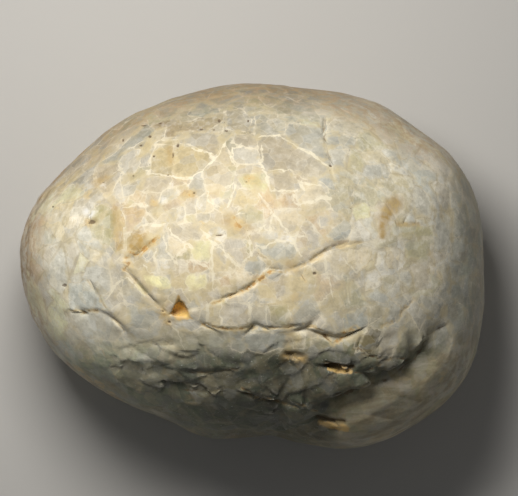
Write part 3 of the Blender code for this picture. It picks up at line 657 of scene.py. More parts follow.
FAR = 9.0                       # stands for farther away than anything shows, in mm
CRACK_SIDE = 0.7                # how far beside a crack the skin is cut finer, in mm
PIT_SIDE = 0.5                  # and beside a small pit
bpy.ops.object.mode_set(mode="OBJECT")
for _ in range(5):
    ends, lengths, middles = edge_table()
    along_x, along_y, up = middles.T
    crack_near = np.full(len(ends), FAR)
    for path, *_ in CRACKS:
        crack_near = np.minimum(crack_near, path_gap(path, along_x, along_y))
    limits = np.where(up * MM < UNDER_HEIGHT, UNDER_EDGE, TOP_EDGE) / MM
    on_flank = (up * MM > UNDER_HEIGHT) & (along_y < -9.5) & (np.abs(along_x - 1.0) < 27.0)
    limits[on_flank] = BED_EDGE / MM
    for px, py, reach in FINE_PLACES:
        close = np.hypot(along_x - px, along_y - py) < reach
        limits[close & (up > PIT_HEIGHT)] = FINE_EDGE / MM
    for px, py, wide, high, _ in SMALL_PITS:
        close = np.hypot(along_x - px, along_y - py) < PIT_SIDE + max(wide, high)
        limits[close & (up > PIT_HEIGHT)] = PIT_EDGE / MM
    close = (crack_near < CRACK_SIDE) & (up > MARK_HEIGHT)
    limits[close] = np.minimum(limits[close], CRACK_EDGE / MM)
    if not (lengths > limits).any():
        break
    halve(lengths > limits)
# Inside a shard, an edge from break to break gets a corner in its middle.
SHORT_EDGE = 0.25               # in mm; left whole
for _ in range(2):
    ends, lengths, _ = edge_table()
    low, high = shards_beside(len(ends))
    on_break = np.zeros(len(skin.data.vertices), bool)
    on_break[ends[low != high].reshape(-1)] = True
    halve(on_break[ends[:, 0]] & on_break[ends[:, 1]] & (low == high) & (lengths > SHORT_EDGE))

# Distances to the breaks, in millimetres, before the shell is worn.
fine = skin.data
count = len(fine.vertices)
plan = pull(fine.vertices, "co", 3) / MM
normals = pull(fine.vertices, "normal", 3)
shard_of_face = pull(fine.attributes["shard"].data, "value", 1, np.int32)
corners_of = pull(fine.polygons, "vertices", 3, np.int32)
edges = pull(fine.edges, "vertices", 2, np.int32)
low, high = shards_beside(len(edges))
break_points = []
for first, second in edges[low != high].tolist():
    for share in (0.0, 0.2, 0.4, 0.6, 0.8):
        break_points.append(plan[first] * (1 - share) + plan[second] * share)
break_tree = KDTree(len(break_points))
for k, place in enumerate(break_points):
    break_tree.insert(place, k)
break_tree.balance()
gap = np.array([break_tree.find(place)[2] for place in plan])
gap[edges[low != high].reshape(-1)] = 0.0

above = (plan[:, 2] > MARK_HEIGHT) & (normals[:, 2] > 0.25)


def gap_above(path):
    """Distance from each corner to a path, far where the skin is low or overhangs."""
    return np.where(above, path_gap(path, plan[:, 0], plan[:, 1]), FAR)


crack_gap = np.full(count, FAR)
crack_dark, line_rust, sunk = np.zeros(count), np.zeros(count), np.zeros(count)
for path, depth, half_width, darkness, strength, reach in CRACKS:
    away = gap_above(path)
    crack_dark[away < crack_gap] = darkness
    crack_gap = np.minimum(crack_gap, away)
    line_rust = np.maximum(line_rust, strength * np.exp(-(away / (0.8 * reach)) ** 2))
    sunk = np.maximum(sunk, depth * np.exp(-(away / half_width) ** 2))
pale_gap = np.full(count, FAR)
for path in PALE_VEINS:
    pale_gap = np.minimum(pale_gap, gap_above(path))


def ramp(low, high, value):
    """Smooth step from 0 to 1, for arrays."""
    share = np.clip((value - low) / (high - low), 0.0, 1.0)
    return share * share * (3.0 - 2.0 * share)


def grain(size, offset, stretch=(1.0, 1.0, 1.0)):
    """Noise from -1 to 1 with lumps of a size in millimetres."""
    scaled = plan / size / np.array(stretch) + offset
    return np.array([noise.noise(place) for place in scaled.tolist()])


def worn(chosen, repeat):
    """Wear the chosen corners of the skin down towards their neighbours."""
    bpy.ops.object.mode_set(mode="EDIT")
    bpy.ops.mesh.select_mode(type="VERT")
    bpy.ops.mesh.select_all(action="DESELECT")
    bpy.ops.object.mode_set(mode="OBJECT")
    fine.vertices.foreach_set("select", chosen)
    bpy.ops.object.mode_set(mode="EDIT")
    bpy.ops.mesh.vertices_smooth(factor=0.5, repeat=repeat)
    bpy.ops.object.mode_set(mode="OBJECT")


# A break gapes here and closes there, and is shut on the steep sides.
gaping = ramp(-0.22, 0.18, grain(2.0, 5.9))
facing = ramp(0.25, 0.50, normals[:, 2])
crack_dark *= (0.35 + 0.65 * gaping) * facing
sunk *= (0.55 + 0.45 * gaping) * facing
line_rust *= facing

# Breaks wander: the skin shifts a little along itself.
wavy = np.zeros((count, 3))
for axis, (coarse, small) in enumerate(((12.5, 2.5), (31.5, 8.5))):
    wavy[:, axis] = 0.12 * grain(2.0, coarse) + 0.05 * grain(0.8, small)
wavy *= ramp(0.5, 4.0, plan[:, 2])[:, None]
wavy -= normals * (wavy * normals).sum(axis=1)[:, None]
fine.vertices.foreach_set("co", ((plan + wavy) * MM).reshape(-1))
fine.update()

def oval(x, y, middle_x, middle_y, reach_x, reach_y):
    """Distance in plan from a middle, as a share of the reach each way."""
    return np.hypot((x - middle_x) / reach_x, (y - middle_y) / reach_y)


# Worn further: middle x, middle y, reach in x, reach in y, how often.
WORN_PLACES = ((27.0, -12.0, 6.5, 4.5, 22), (25.2, 8.6, 2.6, 2.6, 12),
               (20.5, -16.2, 4.0, 3.0, 12), (10.5, -21.5, 6.5, 4.5, 16))
rest_face = plan[:, 2] < REST_HEIGHT
worn(~rest_face, 10)
low_flank = (plan[:, 1] < -11.0) & (np.abs(plan[:, 0] - 1.0) < 26.0) & ~rest_face
worn(low_flank, 6)
for *place, repeat in WORN_PLACES:
    worn((oval(plan[:, 0], plan[:, 1], *place) < 1.0) & ~rest_face, repeat)

# Weathering: low lumps, plates that stand a hair apart, crumpled beds on the
# low flank, and the small pits.
places = pull(fine.vertices, "co", 3)
normals = pull(fine.vertices, "normal", 3)
plan = places / MM
x, y, z = plan.T
# On the steep sides the borders between the zones wander and soften.
facing = ramp(0.12, 0.50, normals[:, 2])
soft = 5.0 * (1.0 - facing)
at_x = x + soft * grain(5.0, 3.3)
at_y = y + soft * grain(5.0, 8.1)
lobe = ramp(-0.5 - soft, 1.5 + soft, (at_x - 13.0) * 0.42 - (at_y + 22.0) * 0.90)
lobe = lobe * ramp(12.0 - soft, 16.0 + soft, at_x) * ramp(-8.0, -12.0, at_y)
flank = ramp(-10.5, -14.5, y) * ramp(-30.0, -20.0, x) * (1.0 - 0.80 * ramp(10.0, 18.0, x)) * (1.0 - lobe)
flank *= ramp(5.0, 12.0, z) * (0.05 + 0.95 * facing)


def from_faces(values):
    """Mean at each corner of the skin of a value that its faces have."""
    total, shared = np.zeros((count,) + values.shape[1:]), np.zeros(count)
    for k in range(3):
        np.add.at(total, corners_of[:, k], values)
        np.add.at(shared, corners_of[:, k], 1.0)
    return total / (shared[:, None] if values.ndim > 1 else shared)


rng = random.Random(11)
stand = np.array([rng.uniform(-1, 1) for _ in range(shard_count)])
height = 0.09 * grain(4.2, 3.1) + 0.045 * grain(1.7, 9.2) + 0.020 * grain(0.8, 4.7)
height += 0.035 * from_faces(stand[shard_of_face]) - 0.02 * np.exp(-(gap / 0.25) ** 2)
lumpy = 0.22 * grain(4.0, 5.5, (1.5, 1.0, 1.0)) + 0.10 * grain(1.6, 1.7, (1.4, 1.0, 1.0))
lumpy += 0.05 * grain(0.8, 4.1)
# Broken flakes overlap down the low flank like shingles: each one stands out
# at its lower edge over the next.
FLAKE_WIDE, FLAKE_HIGH = 5.6, 3.4
FLAKE_SAG = 0.28                # how far the rows of flakes hang down to the sides
FLAKE_LIP = 0.07                # width of the dip between two flakes
bend_x = 2.4 * grain(6.0, 2.2) + 0.7 * grain(2.0, 7.2)
bend_y = 2.0 * grain(6.0, 6.1) + 0.6 * grain(2.0, 1.4)
proud = 0.35 + 1.0 * ramp(-0.25, 0.40, grain(7.0, 8.8))
flake_step, flake_tone = np.zeros(count), np.zeros(count)
for k in np.flatnonzero(flank > 0.01):
    row = y[k] - FLAKE_SAG * abs(x[k] - 2.0) + bend_y[k]
    spot = Vector(((x[k] + bend_x[k]) / FLAKE_WIDE, row / FLAKE_HIGH, 0.5))
    reach, middles = noise.voronoi(spot)
    heart = Vector(middles[0])
    chance = noise.cell_vector(heart * 97.0)
    flake_tone[k] = chance.z
    flake_step[k] = ((heart.y - spot.y) * 0.75 + (heart.x - spot.x) * (chance.x - 0.5) * 0.5
                     + (chance.y - 0.5) * 0.40
                     - 0.12 * math.exp(-((reach[1] - reach[0]) / FLAKE_LIP) ** 2))
height += flank * (0.55 * proud * flake_step + lumpy)
height += lobe * 0.05 * grain(3.0, 7.7, (3.0, 1.0, 1.0))
height -= sunk * (0.8 + 0.5 * grain(1.8, 3.9))
pit = np.zeros(count)
PIT_WORN = 0.85                 # pits have closed to this share of their size
for px, py, wide, high, depth in SMALL_PITS:
    reach = oval(x, y, px, py, PIT_WORN * wide, PIT_WORN * high)
    reach = np.where((z > PIT_HEIGHT) & (facing > 0.5), reach, FAR)
    height -= depth * np.exp(-np.minimum(reach, 6.0) ** 2)
    pit = np.maximum(pit, ramp(1.7, 0.3, reach))


def depth_inside(ring):
    """How far points lie inside an anticlockwise ring of corners, in millimetres."""
    least = np.full(count, 99.0)
    for (ax, ay), (bx, by) in zip(ring, ring[1:] + ring[:1]):
        across = (bx - ax) * (y - ay) - (by - ay) * (x - ax)
        least = np.minimum(least, across / math.hypot(bx - ax, by - ay))
    return least


# The three-cornered pocket on the dome, dark at its top corner, ochre below,
# and the slits with ochre lips low on the right and at the foot.
POCKET = ((-12.8, -4.7), (-13.1, -6.6), (-14.2, -8.3), (-12.0, -9.0), (-9.6, -8.7), (-10.9, -6.7),
          (-11.9, -4.8))
POCKET_DEPTH = 0.62
# Slits: path, depth.  Lips below them: path, reach, strength of the ochre.
SLITS = (
    (((12.3, -16.1), (14.4, -16.6), (16.7, -16.8)), 0.52),
    (((11.0, -25.1), (13.0, -25.7), (15.4, -26.0)), 0.40),
    (((5.4, -14.7), (7.0, -14.5), (8.4, -14.9)), 0.26),
)
LIPS = (
    (((12.9, -16.9), (14.4, -17.3), (16.3, -17.4)), 0.42, 1.15),
    (((11.6, -26.1), (13.6, -26.7), (15.8, -27.1)), 0.60, 0.85),
    (((5.8, -15.3), (7.2, -15.1), (8.3, -15.5)), 0.45, 0.5),
)
SLIT_SIDE, SLIT_DEEPEST = 0.34, 0.52
LOW_END = 10.0                  # in mm; slits and lips lie above this
# The thin dark seam round the pointed end.
END_SEAM = ((-33.6, 12.6), (-36.0, 9.4), (-37.5, 5.6), (-38.0, 2.0))
inward = depth_inside(POCKET) + 0.30 * grain(0.9, 5.2) + 0.18 * grain(0.4, 2.8)
pocket = ramp(-0.30, 0.40, inward) * (z > PIT_HEIGHT)
height -= POCKET_DEPTH * ramp(-0.2, 1.1, inward) * ramp(-9.0, -6.9, y) * (z > PIT_HEIGHT)
ochre = pocket * (0.55 + 0.60 * ramp(-13.2, -11.9, x)) * (1.0 - 0.35 * ramp(-7.9, -8.7, y))
dark = pocket * np.maximum(ramp(-7.2, -5.6, y), 0.65 * ramp(-12.2, -13.4, x) * ramp(-9.0, -8.0, y))
for path, deep in SLITS:
    near = np.exp(-(path_gap(path, x, y) / SLIT_SIDE) ** 2) * (z > LOW_END)
    height -= deep * near
    dark = np.maximum(dark, near * deep / SLIT_DEEPEST)
patchy = 1.0 - (0.30 + 0.70 * (1.0 - facing)) * ramp(0.20, -0.15, grain(1.0, 6.3))
for path, reach, strength in LIPS:
    lip = strength * np.exp(-(path_gap(path, x, y) / reach) ** 2) * (z > LOW_END) * patchy
    ochre = np.maximum(ochre, lip)
seam = 0.55 * np.exp(-(path_gap(END_SEAM, x, y) / 0.20) ** 2) * ramp(-0.15, 0.15, grain(1.6, 2.9))
dark = np.maximum(dark, seam * (z > MARK_HEIGHT))
# A patch of small clear crystals near the pointed end.
sparry = np.exp(-oval(x, y, -27.0, 8.9, 1.0, 1.0) ** 4) * (z > PIT_HEIGHT)
for k in np.flatnonzero(sparry > 0.05):
    chance = noise.cell_vector(Vector((x[k] / 0.55 + 0.4 * y[k], y[k] / 0.62, 7.5)))
    height[k] += sparry[k] * 0.16 * (chance.x - 0.5)
    sparry[k] *= 0.25 + 0.75 * (chance.y > 0.30)
height *= ramp(0.0, 1.5, z)
places = np.clip(places + normals * (height * MM)[:, None], np.array(cad_low), np.array(cad_high))
fine.vertices.foreach_set("co", places.reshape(-1))
fine.update()
worn(~rest_face & (pit < 0.05) & (sparry < 0.2) & (crack_gap > 0.5), 1)

# Hollows and edges of the worn surface: painted shade in the hollows, and edges made paler, partly by wear
# and partly as a painted highlight.
plan = pull(fine.vertices, "co", 3) / MM
normals = pull(fine.vertices, "normal", 3)
both_ways = ((edges[:, 0], edges[:, 1]), (edges[:, 1], edges[:, 0]))


def sum_beside(values):
    """For each corner of the skin, the sum of a value over the corners beside it."""
    total = np.zeros_like(values)
    for here, there in both_ways:
        np.add.at(total, here, values[there])
    return total


curve = np.zeros(count)
for here, there in both_ways:
    toward = plan[there] - plan[here]
    length = np.sqrt(np.maximum((toward ** 2).sum(axis=1), 1e-4))
    np.add.at(curve, here, (toward * normals[here]).sum(axis=1) / length)
beside = sum_beside(np.ones(count))
curve /= beside
for _ in range(2):
    curve = 0.5 * curve + 0.5 * sum_beside(curve) / beside

# Colour of each shard: its own tone, or one picked for its part of the lump.
middle_of = np.zeros((shard_count, 3))
faces_of = np.zeros(shard_count)
np.add.at(middle_of, shard_of_face, plan[corners_of].mean(axis=1))
np.add.at(faces_of, shard_of_face, 1.0)
middle_of /= np.maximum(faces_of, 1.0)[:, None]
side_a = plan[corners_of[:, 1]] - plan[corners_of[:, 0]]
side_b = plan[corners_of[:, 2]] - plan[corners_of[:, 0]]
area_of = np.zeros(shard_count)
np.add.at(area_of, shard_of_face, 0.5 * np.linalg.norm(np.cross(side_a, side_b), axis=1))
WARM = ("tan", "beige", "cream", "beige", "grey", "cream", "straw", "tan", "peach")
COOL = ("grey", "blue", "grey", "grey", "beige", "olive", "white")
MIDDLE_TONE = np.array((0.625, 0.575, 0.440))
CONTRAST = 1.30
END_CONTRAST = 1.35             # more again beyond the two borders below
RIGHT_BORDER, LEFT_BORDER = 9.0, -22.0
YELLOWED = (0.970, 0.955, 0.900)
STRIPED_SHARE = 0.32            # how many of the shards show twin bands
shard_colour = np.ones((shard_count, 4), np.float32)
shard_stripe = np.zeros((shard_count, 3), np.float32)
lean_way = np.zeros((shard_count, 3))
rng = random.Random(5)
for number in range(shard_count):
    mx, my, _ = middle_of[number]
    warm = 0.75 - 0.05 * max(0.0, mx - 8.0) + 0.06 * min(0.0, my + 6.0)
    pick = rng.choice(WARM) if rng.random() < warm else rng.choice(COOL)
    second = rng.choice(("beige", "grey", "cream", "beige"))
    share, bright = rng.uniform(0.0, 0.55), rng.uniform(0.92, 1.06)
    angle, striped = rng.uniform(0, math.pi), rng.random()
    colour = np.array(TONES[pick]) * (1 - share) + np.array(TONES[second]) * share
    if number in tone_of:
        colour = np.array(TONES[tone_of[number]])
        bright = 1.0 + 0.4 * (bright - 1.0)
    elif mx > RIGHT_BORDER:
        bright = 1.0 + 1.7 * (bright - 1.0)
    # Tones stand further apart than in one even stone, and are a little yellower.
    further = END_CONTRAST if mx > RIGHT_BORDER or mx < LEFT_BORDER else 1.0
    colour = MIDDLE_TONE + CONTRAST * further * (colour - MIDDLE_TONE)
    shard_colour[number, :3] = colour * bright * YELLOWED
    if striped < STRIPED_SHARE:
        shard_stripe[number] = (math.cos(angle), math.sin(angle), 0.3)
    lean_way[number] = (math.cos(3.0 * angle) * share * 1.8, math.sin(3.0 * angle) * share * 1.8, 0.0)
# Light spreads inside calcite: a shard's colour takes in some of its neighbours'.
OWN_SHARE, SPREAD_SHARE = 0.74, 0.26
spread_colour = from_faces(shard_colour[shard_of_face])
for _ in range(4):
    spread_colour = 0.4 * spread_colour + 0.6 * sum_beside(spread_colour) / beside[:, None]


def each_corner(of_faces):
    """A value of the faces, given to each corner of each face."""
    return np.repeat(of_faces, 3, axis=0)


corner_colour = OWN_SHARE * each_corner(shard_colour[shard_of_face])
corner_colour = corner_colour + SPREAD_SHARE * spread_colour[corners_of.reshape(-1)]
attribute = fine.attributes.new("shard_colour", "FLOAT_COLOR", "CORNER")
attribute.data.foreach_set("color", corner_colour.astype(np.float32).reshape(-1))
# Each shard is lighter towards one side, as its cleavage lets the light in.
reach_of = np.sqrt(np.maximum(area_of, 0.5)) * 0.62
from_middle = plan[corners_of] - middle_of[shard_of_face][:, None, :]
lean = (from_middle * lean_way[shard_of_face][:, None, :]).sum(axis=2)
lean = np.clip(lean / reach_of[shard_of_face][:, None], -1.0, 1.0)
attribute = fine.attributes.new("lean", "FLOAT", "CORNER")
attribute.data.foreach_set("value", lean.reshape(-1).astype(np.float32))
attribute = fine.attributes.new("stripe", "FLOAT_VECTOR", "CORNER")
attribute.data.foreach_set("vector", each_corner(shard_stripe[shard_of_face]).reshape(-1))

# Rust on the lips of the open breaks and in spots; white calcite in clouds.
# Spots: middle x, middle y, reach, strength.
RUST_SPOTS = (
    (-14.3, -8.3, 1.0, 0.75), (6.9, -15.2, 1.0, 0.75), (7.4, -5.2, 1.0, 0.6), (8.3, -1.9, 0.6, 0.5),
    (-2.3, 6.8, 1.3, 0.75), (-8.2, 6.5, 0.6, 0.5), (-10.5, 11.9, 0.8, 0.9), (-16.2, 10.6, 0.7, 0.7),
    (-27.3, 11.9, 0.9, 0.6),
    (-27.2, 7.2, 0.9, 0.6), (-0.3, 14.3, 0.9, 0.8), (-22.6, 4.2, 0.8, 0.6), (-20.0, 7.6, 1.0, 0.35),
    (23.5, 10.0, 1.3, 0.55), (22.0, 9.3, 0.9, 0.60), (10.7, 1.6, 0.8, 0.6), (27.0, -5.4, 0.9, 0.3),
    (17.4, -1.6, 0.7, 0.35), (-4.8, 9.2, 0.7, 0.45), (13.0, 7.4, 1.2, 0.3), (29.6, 2.0, 0.8, 0.35),
    (16.2, 9.8, 0.6, 0.2), (18.6, 13.4, 0.9, 0.3), (-33.5, 7.6, 1.0, 0.25), (-25.1, -5.8, 0.6, 0.4),
    (7.6, -12.0, 0.9, 0.4), (14.6, -26.6, 1.2, 0.7), (-10.2, -22.6, 1.2, 0.35), (-27.4, -18.6, 1.6, 0.45),
    (33.6, -13.4, 1.2, 0.3), (31.8, -18.4, 1.4, 0.3), (-29.0, -17.2, 1.2, 0.8), (-25.4, -19.8, 1.2, 0.8),
    (-23.6, -21.2, 0.9, 0.7),
)
CLOUDS = (
    (-19.6, 18.4, 1.6, 0.5), (-17.2, 15.6, 0.8, 0.7), (-10.4, 13.4, 0.4, 1.0), (-13.2, 13.3, 0.7, 1.0),
    (-14.4, 10.8, 0.7, 0.9), (-8.6, 10.2, 1.3, 0.8), (-5.2, 19.0, 0.5, 0.9), (-1.4, 17.5, 1.6, 0.6),
    (-2.6, 14.1, 0.5, 0.9), (5.7, 4.6, 1.5, 1.0), (-6.9, 5.4, 0.8, 1.0),
    (-14.2, 0.2, 1.4, 0.8), (-24.6, 13.6, 1.2, 0.8), (-30.8, -1.2, 1.2, 0.4), (14.8, 1.2, 0.7, 1.0),
    (22.6, 1.4, 1.0, 0.8), (17.6, 9.4, 1.4, 0.8), (22.6, 14.8, 1.3, 0.6), (14.0, 17.4, 0.8, 0.6),
    (0.3, 23.2, 0.5, 0.8), (19.4, -1.8, 0.9, 0.7), (11.4, -9.0, 1.3, 0.4), (-1.6, -11.2, 1.1, 0.6),
    (10.2, -3.0, 1.0, 0.5), (-11.6, 8.4, 1.6, 0.7), (-29.4, 4.8, 1.3, 0.6), (18.2, 21.0, 1.2, 0.4),
    (-11.4, -9.6, 1.4, 0.6), (-15.6, 21.4, 0.8, 0.5), (4.5, -4.6, 0.9, 0.7), (3.0, 6.0, 1.2, 0.6),
)


def spots(table):
    """Round spots: each is held to the height that the skin has at its middle."""
    best = np.zeros(count)
    for px, py, reach, strength in table:
        away = np.hypot(x - px, y - py)
        level = z[np.argmin(away - 0.02 * z)]
        best = np.maximum(best, strength * np.exp(-(away ** 2 + (0.7 * (z - level)) ** 2) / reach ** 2))
    return best * (z > MARK_HEIGHT)


rust = spots(RUST_SPOTS)
# Soft golden stains: path, reach, strength.
STAINS = (
    (((21.6, 4.9), (21.5, 6.6), (22.0, 8.0)), 0.60, 0.90), (((22.1, 8.3), (22.8, 9.6),
      (23.8, 10.4)), 1.15, 1.00),
    (((24.4, 6.9), (27.6, 6.9)), 0.45, 0.55), (((-27.2, 7.2), (-26.2, 7.6)), 0.70, 0.45), (((-14.8, -7.6),
      (-13.8, -9.2)), 0.90, 0.70),
    (((-3.6, 7.6), (-1.4, 6.2)), 1.30, 0.60), (((-11.2, 12.1), (-9.8, 11.8)), 0.70, 0.70),
    (((-16.4, 10.9), (-16.0, 10.2)), 0.70, 0.60), (((5.6, -14.6), (8.6, -15.2)), 0.90, 0.65),
    (((6.0, -13.0), (6.6, -9.0)), 0.80, 0.35), (((6.2, 0.4), (7.4, -0.6)), 0.80, 0.45),
    (((-24.4, 14.6), (-26.0, 13.8)), 0.80, 0.60), (((-22.8, 9.6), (-22.3, 3.0)), 0.60, 0.50),
    (((-0.8, 14.6), (1.2, 14.0)), 0.70, 0.55), (((-13.6, 19.6), (-13.4, 17.2)), 0.50, 0.60),
)
stains = np.zeros(count)
ragged = 1.0 + 0.55 * grain(0.9, 2.4)
for path, reach, strength in STAINS:
    stain = strength * np.exp(-(path_gap(path, x, y) * ragged / reach) ** 3)
    stains = np.maximum(stains, stain * (z > MARK_HEIGHT))

# Film of iron and soil on the rim, thickest along two lines at its left half; along the top and left rims
# and round the outer edge it also stands for painted rim shade.
# Line: path, reach, strength.
RIM_LINES = (
    (((-31.0, -16.6), (-25.5, -20.4), (-20.5, -23.4)), 1.3, 1.0),
    (((-31.2, 16.9), (-33.8, 13.2), (-35.9, 9.8), (-37.4, 6.0), (-38.2, 1.6), (-38.3, -2.6)), 0.85, 1.6),
)
GIRTH_HEIGHT, GIRTH_REACH = 19.0, 3.2
rim_x, rim_y = x + 0.9 * grain(2.2, 3.3), y + 0.9 * grain(2.2, 8.1)
rim = oval(at_x, at_y, 0.0, -0.3, 39.0, 30.6)
film_and_rim_shade = ramp(0.83, 0.985, rim) * ramp(3.0, 9.0, z)
film_and_rim_shade *= np.maximum(np.maximum(ramp(-31.0, -37.0, at_x), 0.80 * ramp(12.0, 22.0, at_y)),
                   0.25 * ramp(0.90, 1.0, rim))
girth = np.exp(-((z - GIRTH_HEIGHT + 3.0 * grain(7.0, 4.4) + 1.5 * grain(2.4, 1.9)) / GIRTH_REACH) ** 2)
girth = np.maximum(girth, facing) * (0.55 + 0.45 * ramp(-0.3, 0.2, grain(2.0, 7.4)))
for path, reach, strength in RIM_LINES:
    film_and_rim_shade = np.maximum(film_and_rim_shade, strength * np.exp(-(path_gap(path, rim_x, rim_y) / reach) ** 2) * girth)
film_and_rim_shade = np.maximum(film_and_rim_shade, 0.25 * lobe)

# Grey of the low flank and the outer sides: the stone's own olive-grey, and painted shade where the sides
# turn away from the light; and the cool tone of both ends.
grey = ramp(-8.5, -17.0, at_y) + 0.55 * ramp(31.0, 37.0, at_x) + 0.42 * ramp(19.0, 26.0, at_y)
cool = np.maximum(ramp(-18.0, -27.0, at_x) * ramp(14.0, 4.0, at_y), 0.75 * ramp(4.0, 15.0, at_x))
cool *= ramp(-20.0, -10.0, at_y)
cool = np.clip(np.maximum(cool, 0.50 * ramp(-5.0, -10.0, at_y)) * (1.0 - 0.6 * lobe), 0.0, 1.0)


def patch(middle_x, middle_y, reach_x, reach_y):
    """A soft oval patch on the skin."""
    return np.exp(-oval(x, y, middle_x, middle_y, reach_x, reach_y) ** 2)


# Lighter and darker parts: painted light and shade, darker on the low flank and towards the top rim, lighter
# at the left end, on the right of the dome and on the lobe, as light falls over the lump; the random tone of
# the flakes and of both ends is added below.
shade = (1.0 + 0.27 * ramp(14.0, 22.0, x) * ramp(35.0, 31.0, x) * ramp(-8.0, -3.0, y)
         + 0.36 * ramp(-22.0, -30.0, x) * ramp(-15.0, -6.0, y) * ramp(14.0, 8.0, y) + 0.20 * lobe
         + 0.18 * ramp(-18.0, -26.0, x) * ramp(-5.0, -8.0, y) * ramp(-18.0, -14.0, y)
         - 0.19 * ramp(10.0, 18.0, y) * ramp(16.0, 4.0, x) - 0.20 * ramp(26.0, 29.0, y)
         - 0.32 * ramp(-13.5, -16.5, at_y) * ramp(-18.0, -12.0, at_x) * (1.0 - lobe)
         + 0.20 * ramp(-22.0, -30.0, x) * ramp(-6.0, -12.0, y)
         - 0.14 * ramp(-12.4, -14.6, y) * ramp(-9.0, 0.0, x) * (1.0 - lobe)
         - 0.04 * patch(-12.0, 5.0, 8.0, 7.0) - 0.26 * patch(5.0, -15.9, 11.0, 2.2)
         + 0.42 * patch(-20.0, -15.0, 6.0, 3.5))
shade += 0.05 * patch(4.0, -7.6, 9.0, 1.8)
# Random tone of the flakes on the flank, and further down of both ends, on top of the painted light and
# shade.
shade += (0.34 * (flake_tone - 0.5) * (flake_tone > 0.0) + 0.14 * grain(3.0, 9.6)) * flank
both_ends = np.maximum(ramp(8.0, 16.0, x), ramp(-20.0, -27.0, x))
shade += 0.08 * grain(4.5, 6.6) * both_ends * ramp(-14.0, -8.0, y)
# The painted light and shade fade out down towards the spot that the lump lies on.
fading = np.clip(z / MARK_HEIGHT, 0.0, 1.0)
shade = np.where(z > MARK_HEIGHT, shade, 1.0 + (shade - 1.0) * fading)
named = np.zeros(count)
for k in range(3):
    np.maximum.at(named, corners_of[:, k], np.isin(shard_of_face, list(tone_of)) * 1.0)
grey = np.clip(grey, 0, 1) * (1.0 - 0.35 * lobe) * (1.0 - 0.5 * named)
grainy = 0.60 * np.maximum(ramp(10.0, 18.0, x), ramp(-22.0, -28.0, x)) * ramp(-12.0, -7.0, y)
grainy = np.maximum(grainy, 0.7 * ramp(19.0, 25.0, y))
grainy *= 1.0 - 0.8 * spots(((22.3, 8.0, 2.4, 1.0), (27.2, 3.4, 3.2, 0.7)))
marks = {
    "break_gap": gap, "crack_gap": crack_gap, "crack": crack_dark, "pale_gap": pale_gap, "rust": rust,
    "line_rust": line_rust, "stains": stains, "ochre": ochre, "dark": dark, "cloud": spots(CLOUDS),
    "film_and_rim_shade": film_and_rim_shade, "grey": grey, "flake_tone": flake_tone, "cool": cool, "grainy": grainy, "shade": shade,
    "hollow": curve, "pit": pit, "sparry": sparry, "lobe": lobe,
}
for name, values in marks.items():
    attribute = fine.attributes.new(name, "FLOAT", "POINT")
    attribute.data.foreach_set("value", values.astype(np.float32))
fine.shade_smooth()

# Weathered calcite, coloured in the order that the stone got its colours.
stone = bpy.data.materials.new("weathered_calcite")
stone.use_nodes = True
tree = stone.node_tree
shader = tree.nodes["Principled BSDF"]
shader.inputs["Specular IOR Level"].default_value = 0.30
position = tree.nodes.new("ShaderNodeTexCoord").outputs["Object"]


def wire(target, value):
    """Set a socket to a number or a colour, or link it."""
    if isinstance(value, bpy.types.NodeSocket):
        tree.links.new(value, target)
    elif isinstance(value, tuple) and len(value) == 3 and len(target.default_value) == 4:
        target.default_value = (*value, 1.0)
    else:
        target.default_value = value


def mark(name, kind="Fac"):
    """A number, a colour or a direction kept on the skin's own mesh."""
    reader = tree.nodes.new("ShaderNodeAttribute")
    reader.attribute_name = name
    return reader.outputs[kind]


def cloudy(size_mm, detail=4.0, roughness=0.55, warp=0.0, place=None):
    """Noise with lumps of a size in millimetres."""
    cloud = tree.nodes.new("ShaderNodeTexNoise")
    wire(cloud.inputs["Scale"], 1.0 / (size_mm * MM))
    wire(cloud.inputs["Detail"], detail)
    wire(cloud.inputs["Roughness"], roughness)
    wire(cloud.inputs["Distortion"], warp)
    wire(cloud.inputs["Vector"], place or position)
    return cloud.outputs["Fac"]


def sums(kind, first, second=0.0):
    """Arithmetic with two numbers or sockets."""
    node = tree.nodes.new("ShaderNodeMath")
    node.operation = kind
    wire(node.inputs[0], first)
    wire(node.inputs[1], second)
    return node.outputs[0]


def times(first, second):
    """The product of two numbers or sockets."""
    return sums("MULTIPLY", first, second)


def swing(value, reach):
    """How far a noise stands from its middle, times a reach."""
    return times(sums("SUBTRACT", value, 0.5), reach)


def span(value, low, high, out_low=0.0, out_high=1.0):
    """Smooth map of one span of a value onto another."""
    node = tree.nodes.new("ShaderNodeMapRange")
    node.interpolation_type = "SMOOTHSTEP"
    for name, entry in (("Value", value), ("From Min", low), ("From Max", high),
                        ("To Min", out_low), ("To Max", out_high)):
        wire(node.inputs[name], entry)
    return node.outputs["Result"]


def laid_over(under, tint, share):
    """A tint laid over a colour by a share."""
    node = tree.nodes.new("ShaderNodeMix")
    node.data_type = "RGBA"
    wire(node.inputs[0], share)
    wire(node.inputs[6], TINTS.get(under, under))
    wire(node.inputs[7], TINTS.get(tint, tint))
    return node.outputs[2]


def dimmed(under, share):
    """A colour made lighter or darker by a factor."""
    node = tree.nodes.new("ShaderNodeVectorMath")
    node.operation = "SCALE"
    wire(node.inputs[0], under)
    wire(node.inputs["Scale"], share)
    return node.outputs[0]


def drawn_out(along, turn=0.0):
    """Places stretched one way, so that noise becomes streaks."""
    mapping = tree.nodes.new("ShaderNodeMapping")
    mapping.inputs["Rotation"].default_value = (0.0, 0.0, turn)
    mapping.inputs["Scale"].default_value = (along, 1.0, 1.0)
    wire(mapping.inputs["Vector"], position)
    return mapping.outputs["Vector"]


def crystals(feature):
    """Cells of small crystals with slightly bent sides."""
    cells = tree.nodes.new("ShaderNodeTexVoronoi")
    cells.feature = feature
    wire(cells.inputs["Scale"], 1.0 / CRYSTAL)
    wire(cells.inputs["Vector"], bent_place.outputs[0])
    return cells


